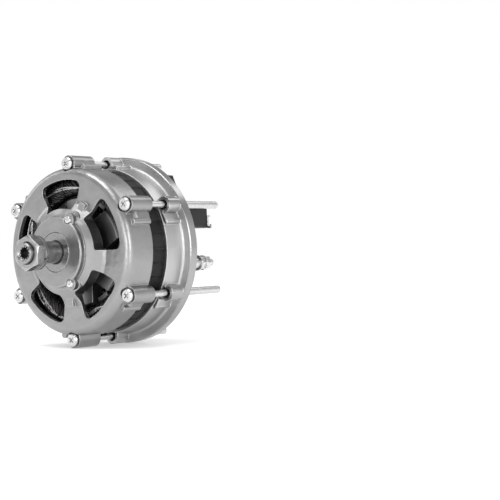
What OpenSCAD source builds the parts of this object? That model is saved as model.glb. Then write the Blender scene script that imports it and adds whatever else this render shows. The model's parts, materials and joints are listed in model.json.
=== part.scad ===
// Flange-mounted claw-pole engine alternator with an electronic regulator.
// The shaft lies along Y and its threaded end points to -Y, so the rear studs point to +Y.
// The origin is on the shaft axis, in the rear face of the mounting flange.
// Every sub-part is drawn upright in a frame that axial() then lays down: its x is X, its y is
// height, and its z runs forward from the flange's rear face, so what lies behind has a negative z.

/* [Housing] */
// Diameter of the round mounting flange
flange_d = 150; // [149:0.5:156]
// Thickness of the flange's rim
flange_t = 8; // [6:0.5:9]
// Width of the flange's machined rear ring
flange_ring_w = 13; // [11:0.5:14]
// Outside diameter of the stator core
stator_d = 126; // [125:0.5:127]
// Wall of both cases outside the stator
case_wall = 2.5; // [2:0.25:3]
// Space between the windings and the rear case's floor
rear_room = 3; // [2.5:0.25:6]
// Bare width of the stator between the two cases
stator_show = 16.5; // [14:0.5:20]
// How deep the stator sits in each case
spigot_len = 5; // [4:0.25:5.5]
// Width of the step that the stator butts against
core_step = 2; // [1.5:0.25:2.5]
// Length of the front case, without its hub
front_case_len = 26; // [25:0.5:30]
// Thickness of the front case's face
face_t = 3.5; // [3:0.25:4]
// Radius of the front case's rounded shoulder
shoulder_r = 6.5; // [4:0.5:7]
// Height of the front hub above the face
hub_rise = 13; // [12:0.25:15]
// Outside diameter of the front hub's disc
hub_d = 55; // [54.5:0.5:57]
// Lip in front of the front bearing
hub_lip = 4; // [3:0.25:5]
// Thickness of the rear case's floor
floor_t = 4; // [3:0.25:4.25]
// How far the cast floor lies below the machined ring
floor_sink = 1.5; // [1:0.25:2]

/* [Air windows] */
// Angle of the first window's middle, of five
window_angle = 24; // [20:0.5:26]
// Angle that one window spans
window_span = 47; // [36:1:50]
// Outer radius of the windows
window_outer = 56; // [54:0.5:57]
// Inner radius of the windows
window_inner = 33.5; // [33.25:0.25:36]
// Rounding of the windows' outer corners
window_round = 5; // [3:0.5:6]

/* [Through bolts] */
// Diameter of the circle that the six bolts stand on
bolt_circle = 137; // [136.5:0.25:138]
// Thread diameter of the bolts
bolt_d = 6; // [5.5:0.25:6]
// Diameter of the bolts' plain shanks
bolt_shank_d = 5.3; // [5:0.1:5.4]
// Diameter of the bolts' heads
bolt_head_d = 10.4; // [9.5:0.1:10.5]
// Height of the bolts' heads
bolt_head_h = 4.5; // [4:0.25:5]
// How far the studs stand out behind the flange
stud_len = 43.5; // [38:0.5:50]
// Radius of the cast lugs round the bolts
lug_r = 6.5; // [6.25:0.25:6.5]
// Radius of the rib beside each lug
lug_rib_r = 2.4; // [2:0.1:2.8]

/* [Shaft and bearings] */
// Diameter of the shaft in the front bearing
shaft_d = 17; // [16.5:0.25:17.5]
// Thread diameter for the shaft nut
thread_d = 16; // [15:0.25:16]
// Bare length of the shaft in front of the hub
shaft_show = 19.25; // [14:0.25:22]
// Width of the shaft nut across its flats
nut_af = 24; // [23:0.5:27]
// Thickness of the shaft nut
nut_t = 8; // [7:0.5:13]
// Thickness of the spring washer
washer_t = 2.5; // [2:0.25:4]
// Outside diameter of the spring washer
washer_d = 26.5; // [25:0.5:28]
// How far the shaft's end stands out of the nut
shaft_end = 3.25; // [1:0.25:4]
// Outside diameter of the front bearing
front_bearing_d = 47; // [45:0.5:47]
// Width of the front bearing
front_bearing_w = 14; // [13:0.5:14]
// Bore of the rear bearing
rear_bearing_bore = 15; // [14.5:0.25:15.5]
// Outside diameter of the rear bearing
rear_bearing_d = 35; // [34:0.5:35.5]
// Width of the rear bearing
rear_bearing_w = 11; // [10.5:0.5:11.5]
// Outside diameter of the turned ring in the front hub
spacer_d = 30.5; // [29:0.5:33]

/* [Stator and rotor] */
// Bore of the stator
stator_bore = 88; // [87:0.25:88.5]
// Depth of the stator's back iron
back_iron = 6; // [5:0.25:7]
// Gap between the rotor and the stator bore
air_gap = 0.4; // [0.35:0.05:0.6]
// How far the windings' end turns stand out of the core
end_turn = 11.5; // [9:0.5:12]
// Length of the rotor over both pole wheels
rotor_len = 42; // [38:0.5:43]
// Thickness of each pole wheel's plate
pole_plate = 10; // [9:0.5:11]
// Diameter of the slip rings
slip_d = 16; // [15:0.5:17]
// Width of each slip ring
slip_w = 5; // [4.5:0.25:5.5]

/* [Rear end] */
// Diameter of the round rear cap
cap_d = 40.5; // [40:0.25:42]
// Thickness of the rear cap
cap_t = 3; // [2:0.25:4]
// Length of the brush housing behind the bearing hub
brush_len = 17.5; // [17:0.25:20]
// Height of the regulator's seat above the flange face
regulator_seat = 4; // [3:0.25:5]
// Distance between the regulator's screws
regulator_pitch = 68.4; // [67.5:0.2:69.5]
// Height of the regulator's body above its plate
regulator_h = 8; // [6:0.5:9]
// Height of the rectifier block's rear face above the flange face
block_h = 36; // [34:0.5:40]
// Spacing of the three phase terminals
phase_pitch = 16; // [15.5:0.25:16.5]
// Height of the battery stud's tip above the flange face
battery_h = 49; // [46:0.5:52]
// Diameter of the battery stud
battery_d = 6; // [5:0.5:6.5]

/* [Hidden] */
$fn = 72;

// Clearances
seat = 0.02;
slide = 0.2;
run = 0.3;
cut = 0.5;

// Levels along the shaft, forward from the flange's rear face
floor_rear = floor_sink;
floor_in = floor_sink + floor_t;
rear_case_len = floor_in + rear_room + end_turn + spigot_len;
front_edge = rear_case_len + stator_show;
face_z = front_edge + front_case_len;
face_in = face_z - face_t;
hub_z = face_z + hub_rise;
core_z0 = rear_case_len - spigot_len;
core_z1 = front_edge + spigot_len;
core_len = core_z1 - core_z0;
mid_z = (core_z0 + core_z1) / 2;
thread_z = hub_z + shaft_show;
nut_z = thread_z + washer_t;
nose_z = nut_z + nut_t + shaft_end;
front_brg_z = hub_z - hub_lip - front_bearing_w;
front_mid = front_brg_z + front_bearing_w / 2;
rotor_z0 = mid_z - rotor_len / 2;
rotor_z1 = mid_z + rotor_len / 2;
plate_z0 = rotor_z0 + pole_plate;
plate_z1 = rotor_z1 - pole_plate;
rear_brg_z1 = floor_in - 1.5;
rear_brg_z = rear_brg_z1 - rear_bearing_w;
rear_mid = rear_brg_z + rear_bearing_w / 2;
rear_lip = 2.5;
hub_end = rear_brg_z - rear_lip;
housing_end = hub_end - brush_len;

// Radii
flange_r = flange_d / 2;
ring_r = flange_r - flange_ring_w;
core_r = stator_d / 2;
case_r = core_r + case_wall;
inner_r = core_r - core_step;
bolt_r = bolt_circle / 2;
pole_r = stator_bore / 2 - air_gap;
shaft_r = shaft_d / 2;
rotor_seat_r = shaft_r + 0.5;
collar_r = shaft_r + 2.5;
rear_hub_r = rear_bearing_d / 2 + 3.5;
cap_r = cap_d / 2;

// Six lugs, each with a rib on its clockwise side
lug_angles = [for (i = [0:5]) 30 + 60 * i];
lug_rib_turn = -11.5;
lug_rear_z = rear_case_len - 4;
lug_front_z = face_z - 4;
bolt_seat_z = lug_front_z - 1.5;
bolt_head_play = 0.9;
tapped_r = bolt_d / 2 - 0.35;
stud_mouth_r = bolt_d / 2 + 1;

// The shaft's end, a splined bore with a conical mouth, and the turn of its nut
spline_r = 5;
spline_deep = 12;
nose_cone = 1.4;
nut_turn = 21.5;
nut_mouth = 1;

// Three screws hold the front bearing's retainer
screw_angles = [60, 180, 300];
screw_r = front_bearing_d / 2 + 4.5;
lobe_r = 5;
lobe_z = hub_z - 1.5;
lobe_foot_r = lobe_r + 1.8;
lobe_foot_z = hub_z - 6;
lobe_rib_w = 6;
lobe_rib_rise = 3;
lobe_rib_end = window_inner + 9;
retainer_t = 2;

// Rotor
claw_count = 6;
claw_root_w = 25;
claw_tip_w = 10;
claw_tip_t = 4;
claw_root_r = pole_r - 9;
claw_tip_gap = 3;
hub_plate_r = 28;
pole_core_r = 17;
bobbin_r = 33;
bobbin_t = 1.2;

// Stator slots
slot_count = 36;
slot_mouth = 2.6;
slot_w0 = 4.2;
slot_w1 = 5.6;
slot_lip = 1.6;
slot_liner = 0.25;
slot_r0 = stator_bore / 2 + slot_lip;
slot_r1 = core_r - back_iron;

// Slip rings and brushes, which stand below the shaft
sleeve_t = 1.5;
slip_r = slip_d / 2;
sleeve_r = slip_r - 1.5;
tail_r = sleeve_r - sleeve_t;
ring_gap = 2;
ring_z1 = hub_end - 1.5;
ring_mids = [ring_z1 - slip_w / 2, ring_z1 - slip_w * 1.5 - ring_gap];
shaft_rear = hub_end - brush_len + 2;
brush_w = 7.6;
brush_t = 4.6;
brush_l = 6.5;
brush_box_half = 17;
brush_box_low = 20.8;
brush_stop = brush_box_low - 1.2;
barrel_r = cap_r - 1;
chamber_r = slip_r + 2.5;

// Regulator, whose screws stand at one height
regulator_y = -38.2;
regulator_plate_t = 3;
regulator_corners = [
    [26.4, -23], [39.3, -33.9], [39.5, -40.5], [26, -52.4], [17.3, -53.6],
    [-23.9, -53.4], [-39, -42], [-39.3, -34.5], [-26.4, -23]
];
cover_x = [-21.9, 17.6];
cover_y = [-53, -24.8];
long_rib_half = 27.7;
long_ribs_y = [-31.4, -46.2];
long_rib_w = 1.7;
cover_slots_y = [-26.6, -28.9, -34.4, -49.2, -51.4];
cover_slot_w = 1.1;
cover_slot_deep = 1.8;
cover_panel_y = [-43.8, -38];
rivet_at = [26.2, -35.4];
tab_x = [-22, -18.4];
tab_y = [-24.5, -16.4];
tab_t = 0.8;
regulator_half = regulator_pitch / 2;
regulator_z = -regulator_seat - regulator_plate_t;
regulator_end = regulator_z - regulator_h;

// Rectifier block
block_z = -block_h;
block_low_z = block_z + 9;
block_top = 60.6;
block_low = 26.4;
block_wall = 2.5;
block_x = [-22.2, 26.7];
tower_side_y = [52.2, 46.6];
tower_top_x = [-16.6, 20.8];
tower_low_y = 47.6;
wing_half = 49.5;
wing_y = [28.6, 34.7];
wing_t = 3;
foot_x0 = -30.6;
foot_y1 = 36.6;
foot_z = -18;
fin_w = 2;
fins_x = [-6.9, 4.9];
fin_y = [36, 50];
rib_count = 8;
rib_pitch = 6;
sink_y = [30, 37];
positive_y = 33.5;
positive_r = 2.6;
negative_r = 4.2;
phase_x0 = 1.6;
phase_y = 45;
lead_hole_y = 45.2;
diode_y = 53;
sink_z = -11;
sink_t = 3;
block_screw_x = [-28.4, 32.6];
block_screw_y = 47.3;
block_head_r = 3.9;
plate_room = 6;

// Openings in the rear floor
side_opening_pts = [[18, -3], [58.5, -3], [59.2, 4], [50.5, 35], [18, 35]];
strip_pts = [[25, 38], [25, 14], [27.4, 4], [31, -6], [38.5, -6], [38.5, 7], [33, 15], [30, 21], [30, 38]];
corner_hole_pts = [[38.2, -26.2], [52, -26.2], [46.2, -36]];
crescent_r = [40, 56.6];

// Terminals on the rear face
battery_at = [48.5, -12.3];
pad_z = -1;
strap_t = 1.2;
strap_y = [-16.6, -7.7];
strap_x0 = 20.6;
sleeve_z = -30;
sleeve_out_r = 4.6;
battery_nut_af = 10;
battery_nut_t = 5;
battery_washer_r = 6.3;
battery_washer_t = 1.4;
side_at = [42.9, 21.6];
side_h = 44;
post_z = -3;
post_x = [36.5, 49.5];
post_y = [16.2, 33];
shelf_x = [34, 46.5];
shelf_y = [9.2, 17];
shelf_h = 28;
bracket_t = 1.2;
bracket_x = [36, 50];
bracket_y = [16, 26.5];
bracket_arm = [[37, 26], [28, 25.6], [27.4, 22.5], [33, 21.5], [36.5, 17.5], [38, 17.5], [38, 26]];
bracket_hook = [[49, 16], [53, 15.6], [53.4, 19], [52.2, 19], [51.8, 17.2], [49, 18]];
bracket_prong = [[27.4, 24], [28.9, 24], [28.7, 30], [29.2, 37.5], [28, 37.5], [27.4, 30]];
bracket_lip_x = [44.5, 48];
bracket_lip_h = 6;
side_rivet_r = 1.5;
round_at = [-30.5, 18.2];
round_h = 15;
boss_r = 10;
boss_rise = 4;
insulator_r = 8.4;
insulator_hole_r = 6;
terminal_pin_r = 2;
blade_w = 8.4;
blade_end_x = -19.4;
blade_y = [3.6, 9.4];
blade_drop = [[-16.6, -2], [-10.6, -2], [-10.6, 4], [-16.6, 4]];
blade_turn = 204;
blade_len = 19;
rib_rise = 3;
rib_x0 = -35.5;
rib_x1 = -27.5;
rib_y0 = -22;
rib_y1 = 9;
earth_at = [-47, -12];
earth_t = 3;
earth_w = 19.2;

// Routes of the two white leads, by x, height and z
lead_r = 1.5;
lead_a_route = [
    [-14.4, 40.8, -34.5], [-14.2, 36, -34], [-13.2, 29, -32.5], [-13.5, 24, -30],
    [-15, 20, -26], [-16.5, 16.5, -22], [-15.6, 13.6, -18]
];
lead_b_route = [
    [-29, 30.5, -19.7], [-29.4, 34, -20], [-28.8, 38, -23], [-26.5, 41.5, -27], [-23, 42, -30],
    [-20, 39, -31], [-19, 34.5, -31], [-19.4, 28, -31], [-20.6, 20, -29], [-22.6, 12, -26],
    [-23.8, 3.5, -23], [-24.4, -5, -20], [-24.2, -12, -17], [-22, -16.5, -13], [-20.2, -18, -9.6]
];

// Geometry helpers
function polar(r, a) = [r * cos(a), r * sin(a)];
function unit(v) = v / norm(v);
function arc(c, r, a0, a1, n = 5) = [for (i = [0:n]) c + polar(r, a0 + (a1 - a0) * i / n)];
function mid_arc(r, a0, a1, n) = [for (i = [1:n - 1]) polar(r, a0 + (a1 - a0) * i / n)];
function turned(a) = a > 180 ? a - 360 : a < -180 ? a + 360 : a;

// The arc that rounds corner p between its neighbours a and b
function corner(p, a, b, r) =
    let (u = unit(a - p), v = unit(b - p), h = acos(u * v) / 2)
    let (c = p + unit(u + v) * r / sin(h))
    let (s = p + u * r / tan(h) - c, e = p + v * r / tan(h) - c)
    let (t = atan2(s.y, s.x))
    arc(c, r, t, t + turned(atan2(e.y, e.x) - t), 4);

function rounded(pts, r) =
    let (n = len(pts))
    [for (i = [0:n - 1], q = corner(pts[i], pts[(i + n - 1) % n], pts[(i + 1) % n], r)) q];

// A ring's sector between two radii, with rounded outer and inner corners
function sector(r0, r1, half, ro, ri) =
    let (a = half - asin(ro / (r1 - ro)), b = half - asin(ri / (r0 + ri)))
    concat(
        mid_arc(r1, -a, a, 10),
        arc(polar(r1 - ro, a), ro, a, half + 90),
        arc(polar(r0 + ri, b), ri, half + 90, b + 180, 3),
        mid_arc(r0, b, -b, 6),
        arc(polar(r0 + ri, -b), ri, 180 - b, 270 - half, 3),
        arc(polar(r1 - ro, -a), ro, -half - 90, -a)
    );

module axial() {
    rotate([90, 0, 0]) children();
}

module slab(z0, z1) {
    translate([0, 0, min(z0, z1)]) linear_extrude(abs(z1 - z0)) children();
}

module rod(r, z0, z1) {
    translate([0, 0, min(z0, z1)]) cylinder(r = r, h = abs(z1 - z0));
}

module tube(r1, r0, z0, z1) {
    difference() {
        rod(r1, z0, z1);
        rod(r0, min(z0, z1) - cut, max(z0, z1) + cut);
    }
}

module at(p) {
    translate([p.x, p.y, 0]) children();
}

module box(x0, x1, y0, y1) {
    translate([min(x0, x1), y0]) square([abs(x1 - x0), y1 - y0]);
}

module round_box(x0, x1, y0, y1, r) {
    polygon(rounded([[x0, y0], [x1, y0], [x1, y1], [x0, y1]], r));
}

// A screw with a domed, cross-slotted head; its head starts at z and rises to z + rise
module cross_slots(r, z, deep) {
    for (a = [45, 135]) rotate([0, 0, a]) slab(z - deep, z + cut) square([r, r * 0.22], center = true);
}

// Front case
module lug_outline() {
    translate([bolt_r, 0]) circle(lug_r);
    translate([inner_r + 1, -lug_r]) square([bolt_r - inner_r - 1, lug_r * 2]);
}

module lug_rib() {
    rotate(lug_rib_turn) translate([case_r + 1, 0]) circle(lug_rib_r);
}

module front_outside() {
    hub_r = hub_d / 2;
    polygon(concat(
        [[0, front_edge], [case_r, front_edge]],
        arc([case_r - shoulder_r, face_z - shoulder_r], shoulder_r, 0, 90, 8),
        [[hub_r + 14, face_z], [hub_r + 11.5, face_z + 1], [hub_r + 1.5, hub_z - 4.5], [hub_r, hub_z - 4.5],
         [hub_r, hub_z - 0.8], [hub_r - 0.8, hub_z], [0, hub_z]]
    ));
}

// The hollow that the stator, the windings and the rotor fill
module front_inside() {
    boss_r = window_inner + 1;
    polygon(concat(
        [[0, front_edge - 2], [core_r, front_edge - 2], [core_r, core_z1], [inner_r, core_z1]],
        arc([inner_r - 3, face_in - 3], 3, 0, 90, 4),
        [[boss_r, face_in], [boss_r, front_brg_z], [0, front_brg_z]]
    ));
}

module front_case() {
    color([0.72, 0.73, 0.74]) axial() difference() {
        union() {
            rotate_extrude($fn = 120) front_outside();
            for (a = screw_angles) at(polar(screw_r, a)) {
                rod(lobe_r, front_brg_z + 1, lobe_z);
                rod(lobe_foot_r, front_brg_z + 1, lobe_foot_z);
            }
            for (a = [60, 276]) rotate([0, 0, a]) slab(face_z - 1, face_z + lobe_rib_rise)
                box(window_inner - 4, lobe_rib_end, -lobe_rib_w / 2, lobe_rib_w / 2);
            for (a = lug_angles) rotate([0, 0, a]) {
                slab(front_edge - 1, lug_front_z) lug_outline();
                slab(front_edge + 1, lug_front_z - 2.5) lug_rib();
            }
        }
        rotate_extrude($fn = 120) front_inside();
        for (i = [0:4]) rotate([0, 0, window_angle + 72 * i]) slab(front_brg_z - cut, hub_z + cut)
            polygon(sector(window_inner, window_outer, window_span / 2, window_round, 2));
        for (a = lug_angles) at(polar(bolt_r, a)) {
            rod(bolt_d / 2 + slide, front_edge - 2, face_z);
            rod(bolt_head_d / 2 + bolt_head_play, bolt_seat_z, face_z + 1);
        }
        for (a = screw_angles) at(polar(screw_r, a)) {
            rod(2 + slide, front_brg_z - cut, hub_z);
            rod(3.2 + run, lobe_z, hub_z + 1);
        }
        rod(front_bearing_d / 2, front_brg_z - cut, hub_z - hub_lip);
        rod(spacer_d / 2 + run, front_brg_z, hub_z + cut);
    }
}

// Rear case
module rear_outside() {
    wall_r = case_r + 1.5;
    polygon(concat(
        [[0, rear_case_len], [0, hub_end], [rear_hub_r, hub_end], [rear_hub_r, floor_rear],
         [ring_r - floor_sink, floor_rear], [ring_r, 0], [flange_r - 0.6, 0], [flange_r, 0.6],
         [flange_r, flange_t - 0.6], [flange_r - 0.6, flange_t]],
        arc([wall_r + 2, flange_t + 2], 2, 270, 180, 4),
        [[case_r, rear_case_len]]
    ));
}

module rear_inside() {
    polygon(concat(
        [[0, rear_case_len + 1], [core_r, rear_case_len + 1], [core_r, core_z0], [inner_r, core_z0]],
        arc([inner_r - 3, floor_in + 3], 3, 0, -90, 4),
        [[0, floor_in]]
    ));
}

// Half of the big side opening, drawn for +X
module side_opening() {
    difference() {
        polygon(rounded(side_opening_pts, 3));
        circle(rear_hub_r + 4);
    }
}

module floor_openings() {
    difference() {
        side_opening();
        polygon(rounded(strip_pts, 1.5));
    }
    difference() {
        mirror([1, 0]) side_opening();
        at(round_at) circle(boss_r);
        box(rib_x0 - 1, rib_x1 + 1, -6, round_at.y);
        box(round_at.x - 5.5, round_at.x + 10.5, round_at.y, round_at.y + 12);
    }
    for (s = [-1, 1]) polygon(rounded([for (p = corner_hole_pts) [s * p.x, p.y]], 1.8));
    rotate(270) polygon(sector(crescent_r[0], crescent_r[1], 17, 3, 3));
    for (i = [-1:1]) translate([phase_x0 + i * phase_pitch - 2.4, lead_hole_y - 3]) square([4.8, 5]);
}

module rear_case() {
    color([0.78, 0.79, 0.8]) axial() difference() {
        union() {
            rotate_extrude($fn = 120) rear_outside();
            for (a = lug_angles) rotate([0, 0, a]) {
                slab(flange_t - 1, lug_rear_z) lug_outline();
                slab(flange_t - 1, rear_case_len - 1) lug_rib();
            }
            for (s = [-1, 1]) at([s * regulator_half, regulator_y]) rod(5, -regulator_seat, floor_rear + 1);
            at(round_at) rod(boss_r, floor_rear + 1, -boss_rise);
            slab(pad_z, floor_rear + 1) at(battery_at) round_box(-10.5, 9, -10.2, 8.8, 3);
            slab(-rib_rise, floor_rear + 1) round_box(rib_x0, rib_x1, rib_y0, rib_y1, 2);
        }
        rotate_extrude($fn = 120) rear_inside();
        slab(-1, floor_in + cut) floor_openings();
        for (a = lug_angles) at(polar(bolt_r, a)) {
            rod(tapped_r + seat, -1, lug_rear_z + 1);
            cylinder(r1 = stud_mouth_r, r2 = tapped_r, h = 1.3);
            rod(bolt_d / 2 + 1.2, flange_t + 4, lug_rear_z + 1);
        }
        for (s = [-1, 1]) at([s * regulator_half, regulator_y]) rod(2, -regulator_seat - 1, floor_in + cut);
        for (x = block_screw_x) at([x, block_screw_y]) {
            rod(1.8, -1, floor_in + cut);
            rod(block_head_r + run, -1, floor_rear);
        }
        for (i = [-1:1]) at([phase_x0 + i * phase_pitch, diode_y]) rod(negative_r, -1, floor_in + cut);
        at(battery_at) rod(battery_d / 2 + seat, pad_z - 1, floor_in + cut);
        at(earth_at) rod(2, -1, floor_in + cut);
        slab(-1, floor_rear) at(earth_at) earth_outline(run);
        at(round_at) rod(insulator_hole_r, -boss_rise - 1, floor_in + cut);
        rod(rear_bearing_d / 2, rear_brg_z, floor_in + cut);
        rod(slip_r + 4, hub_end - 1, rear_brg_z + 1);
    }
}

// Stator
module slot_outline(grow) {
    polygon([[slot_r0 - grow, -slot_w0 / 2 - grow], [slot_r1 + grow, -slot_w1 / 2 - grow],
             [slot_r1 + grow, slot_w1 / 2 + grow], [slot_r0 - grow, slot_w0 / 2 + grow]]);
}

module stator_core() {
    color([0.12, 0.12, 0.13]) axial() slab(core_z0, core_z1) difference() {
        circle(core_r - seat, $fn = 120);
        circle(stator_bore / 2, $fn = 120);
        for (i = [0:slot_count - 1]) rotate(360 / slot_count * i) {
            slot_outline(0);
            translate([stator_bore / 2 - 1, -slot_mouth / 2]) square([slot_lip + 2, slot_mouth]);
        }
    }
}

// One end of the windings, a bundle with a rounded crown
module end_bundle() {
    r0 = slot_r0 + 0.6;
    r1 = slot_r1 + 1;
    rotate_extrude() polygon(concat(
        [[r0, 0.4], [r1, 0.4]],
        arc([r1 - 3.5, end_turn - 3.5], 3.5, 0, 90, 4),
        arc([r0 + 3.5, end_turn - 3.5], 3.5, 90, 180, 4)
    ));
}

module stator_windings() {
    color([0.35, 0.2, 0.1]) axial() {
        translate([0, 0, core_z1]) end_bundle();
        translate([0, 0, core_z0]) mirror([0, 0, 1]) end_bundle();
        slab(core_z0 - 1, core_z1 + 1) for (i = [0:slot_count - 1])
            rotate(360 / slot_count * i) slot_outline(-slot_liner);
    }
}

// Bolts and nuts
module through_bolts() {
    head_r = bolt_head_d / 2;
    head_z = bolt_seat_z + bolt_head_h;
    color([0.82, 0.82, 0.83]) axial() for (a = lug_angles) at(polar(bolt_r, a)) difference() {
        union() {
            translate([0, 0, bolt_seat_z]) rotate_extrude() polygon([
                [0, 0], [head_r, 0], [head_r, bolt_head_h - 1.2], [head_r - 1, bolt_head_h],
                [0, bolt_head_h]]);
            rod(bolt_shank_d / 2, 0, bolt_seat_z);
            rotate_extrude() polygon([
                [0, 0], [0, -stud_len], [bolt_d / 2 - 0.8, -stud_len], [bolt_d / 2, 0.8 - stud_len],
                [bolt_d / 2, 0]]);
        }
        cross_slots(head_r, head_z, 1.8);
    }
}

module retainer_screws() {
    color([0.75, 0.75, 0.76]) axial() for (a = screw_angles) at(polar(screw_r, a)) difference() {
        union() {
            rod(2, front_brg_z - retainer_t - 0.5, lobe_z + 1);
            translate([0, 0, lobe_z]) rotate_extrude() polygon([[0, 0], [3.2, 0], [2.6, 1.5], [0, 1.9]]);
        }
        cross_slots(2, lobe_z + 1.9, 0.9);
    }
}

module bearing_retainer() {
    color([0.6, 0.6, 0.62]) axial() slab(front_brg_z - retainer_t, front_brg_z) difference() {
        union() {
            circle(front_bearing_d / 2 + 1.5);
            for (a = screw_angles) translate(polar(screw_r, a)) circle(lobe_r - 0.5);
        }
        circle(front_bearing_d / 2 - 3);
        for (a = screw_angles) translate(polar(screw_r, a)) circle(2 + seat);
    }
}

// Shaft and what turns with it
module shaft() {
    thread_r = thread_d / 2;
    color([0.7, 0.71, 0.72]) axial() difference() {
        rotate_extrude() polygon([
            [0, nose_z], [thread_r - 1, nose_z], [thread_r, nose_z - 1], [thread_r, thread_z],
            [shaft_r, thread_z], [shaft_r, front_brg_z], [collar_r, front_brg_z], [collar_r, rotor_z1],
            [rotor_seat_r, rotor_z1], [rotor_seat_r, rear_brg_z1], [rear_bearing_bore / 2, rear_brg_z1],
            [rear_bearing_bore / 2, rear_brg_z], [tail_r, rear_brg_z], [tail_r, shaft_rear],
            [0, shaft_rear]]);
        slab(nose_z - spline_deep, nose_z + cut) union() {
            circle(spline_r - 0.8, $fn = 48);
            for (i = [0:5]) rotate(30 * i) square([spline_r * 2, 1.3], center = true);
        }
        translate([0, 0, nose_z - nose_cone]) cylinder(r1 = spline_r, r2 = spline_r + 2, h = nose_cone);
    }
}

module spacer_ring() {
    color([0.8, 0.8, 0.81]) axial() difference() {
        rotate_extrude() polygon([
            [shaft_r + seat, hub_z - hub_lip], [spacer_d / 2, hub_z - hub_lip], [spacer_d / 2, hub_z - 0.4],
            [spacer_d / 2 - 0.5, hub_z + 0.1], [shaft_r + 1, hub_z + 0.1], [shaft_r + seat, hub_z - 0.8]]);
    }
}

module lock_washer() {
    color([0.62, 0.62, 0.64]) axial() translate([0, 0, thread_z]) difference() {
        tube(washer_d / 2, thread_d / 2 + slide, 0, washer_t);
        rotate([0, 0, -20]) translate([washer_d / 2 - 3, 0, washer_t / 2]) rotate([25, 0, 0])
            cube([10, 1.2, washer_t * 3], center = true);
    }
}

module shaft_nut() {
    corner_r = nut_af / 2 / cos(30);
    color([0.78, 0.78, 0.79]) axial() translate([0, 0, nut_z]) rotate([0, 0, nut_turn]) difference() {
        intersection() {
            cylinder(r = corner_r, h = nut_t, $fn = 6);
            rotate_extrude() polygon([
                [0, 0], [nut_af / 2 - 0.3, 0], [corner_r, 1.1], [corner_r, nut_t - 1.1],
                [nut_af / 2 - 0.3, nut_t], [0, nut_t]]);
        }
        rod(thread_d / 2 + seat, -cut, nut_t + cut);
        translate([0, 0, nut_t - nut_mouth])
            cylinder(r1 = thread_d / 2, r2 = thread_d / 2 + 1, h = nut_mouth);
    }
}

// Ball bearings, by bore radius, outer radius, width and middle
function ball_r(bore_r, outer_r) = (outer_r - bore_r) * 0.265;

module race(r0, r1, w, mid, pitch, ball, side) {
    difference() {
        tube(side > 0 ? r1 : pitch - ball * 0.68, side > 0 ? pitch + ball * 0.68 : r0,
             mid - w / 2, mid + w / 2);
        rotate_extrude() translate([pitch, mid]) circle(ball + 0.08, $fn = 32);
    }
}

module race_pair(bore_r, outer_r, w, mid, side) {
    race(bore_r + seat, outer_r - seat, w, mid, (bore_r + outer_r) / 2, ball_r(bore_r, outer_r), side);
}

module ball_set(bore_r, outer_r, mid, count) {
    pitch = (bore_r + outer_r) / 2;
    ball = ball_r(bore_r, outer_r);
    tube(pitch + ball * 0.4, pitch - ball * 0.4, mid - ball * 0.5, mid + ball * 0.5);
    for (i = [0:count - 1]) rotate([0, 0, 360 / count * i]) translate([pitch, 0, mid]) sphere(ball, $fn = 32);
}

module front_race_outer() {
    color([0.66, 0.67, 0.68]) axial() race_pair(shaft_r, front_bearing_d / 2, front_bearing_w, front_mid, 1);
}

module front_race_inner() {
    color([0.66, 0.67, 0.68]) axial() race_pair(shaft_r, front_bearing_d / 2, front_bearing_w, front_mid, -1);
}

module front_balls() {
    color([0.75, 0.76, 0.77]) axial() ball_set(shaft_r, front_bearing_d / 2, front_mid, 7);
}

module front_seals() {
    outer_r = front_bearing_d / 2;
    pitch = (shaft_r + outer_r) / 2;
    reach = ball_r(shaft_r, outer_r) * 0.68;
    color([0.1, 0.1, 0.1]) axial() for (s = [-1, 1])
        tube(pitch + reach - seat, pitch - reach + run, front_mid + s * (front_bearing_w / 2 - 0.3),
             front_mid + s * (front_bearing_w / 2 - 1.3));
}

module rear_race_outer() {
    color([0.66, 0.67, 0.68]) axial()
        race_pair(rear_bearing_bore / 2, rear_bearing_d / 2, rear_bearing_w, rear_mid, 1);
}

module rear_race_inner() {
    color([0.66, 0.67, 0.68]) axial()
        race_pair(rear_bearing_bore / 2, rear_bearing_d / 2, rear_bearing_w, rear_mid, -1);
}

module rear_balls() {
    color([0.75, 0.76, 0.77]) axial() ball_set(rear_bearing_bore / 2, rear_bearing_d / 2, rear_mid, 8);
}

// A pole wheel drawn with its plate at z 0 to pole_plate and its claws reaching forward
module pole_wheel() {
    tip_z = rotor_len - claw_tip_gap;
    difference() {
        union() {
            rod(hub_plate_r, 0, pole_plate);
            intersection() {
                rotate_extrude($fn = 120) polygon([
                    [hub_plate_r - 4, 0], [pole_r - 2, 0], [pole_r, 2], [pole_r, tip_z - 1],
                    [pole_r - 1, tip_z], [pole_r - claw_tip_t, tip_z], [claw_root_r, pole_plate],
                    [hub_plate_r - 4, pole_plate]]);
                for (i = [0:claw_count - 1]) rotate([0, 0, 360 / claw_count * i]) rotate([90, 0, 90])
                    linear_extrude(pole_r + 5) polygon([
                        [-claw_root_w / 2, -1], [claw_root_w / 2, -1], [claw_root_w / 2, pole_plate * 0.6],
                        [claw_tip_w / 2, tip_z + 1], [-claw_tip_w / 2, tip_z + 1],
                        [-claw_root_w / 2, pole_plate * 0.6]]);
            }
        }
        rod(rotor_seat_r + seat, -cut, pole_plate + cut);
    }
}

module front_pole() {
    color([0.45, 0.46, 0.48]) axial() translate([0, 0, rotor_z1]) mirror([0, 0, 1])
        rotate([0, 0, 180 / claw_count]) pole_wheel();
}

module rear_pole() {
    color([0.45, 0.46, 0.48]) axial() translate([0, 0, rotor_z0]) pole_wheel();
}

module rotor_core() {
    color([0.4, 0.41, 0.42]) axial() tube(pole_core_r, rotor_seat_r + seat, plate_z0, plate_z1);
}

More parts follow.
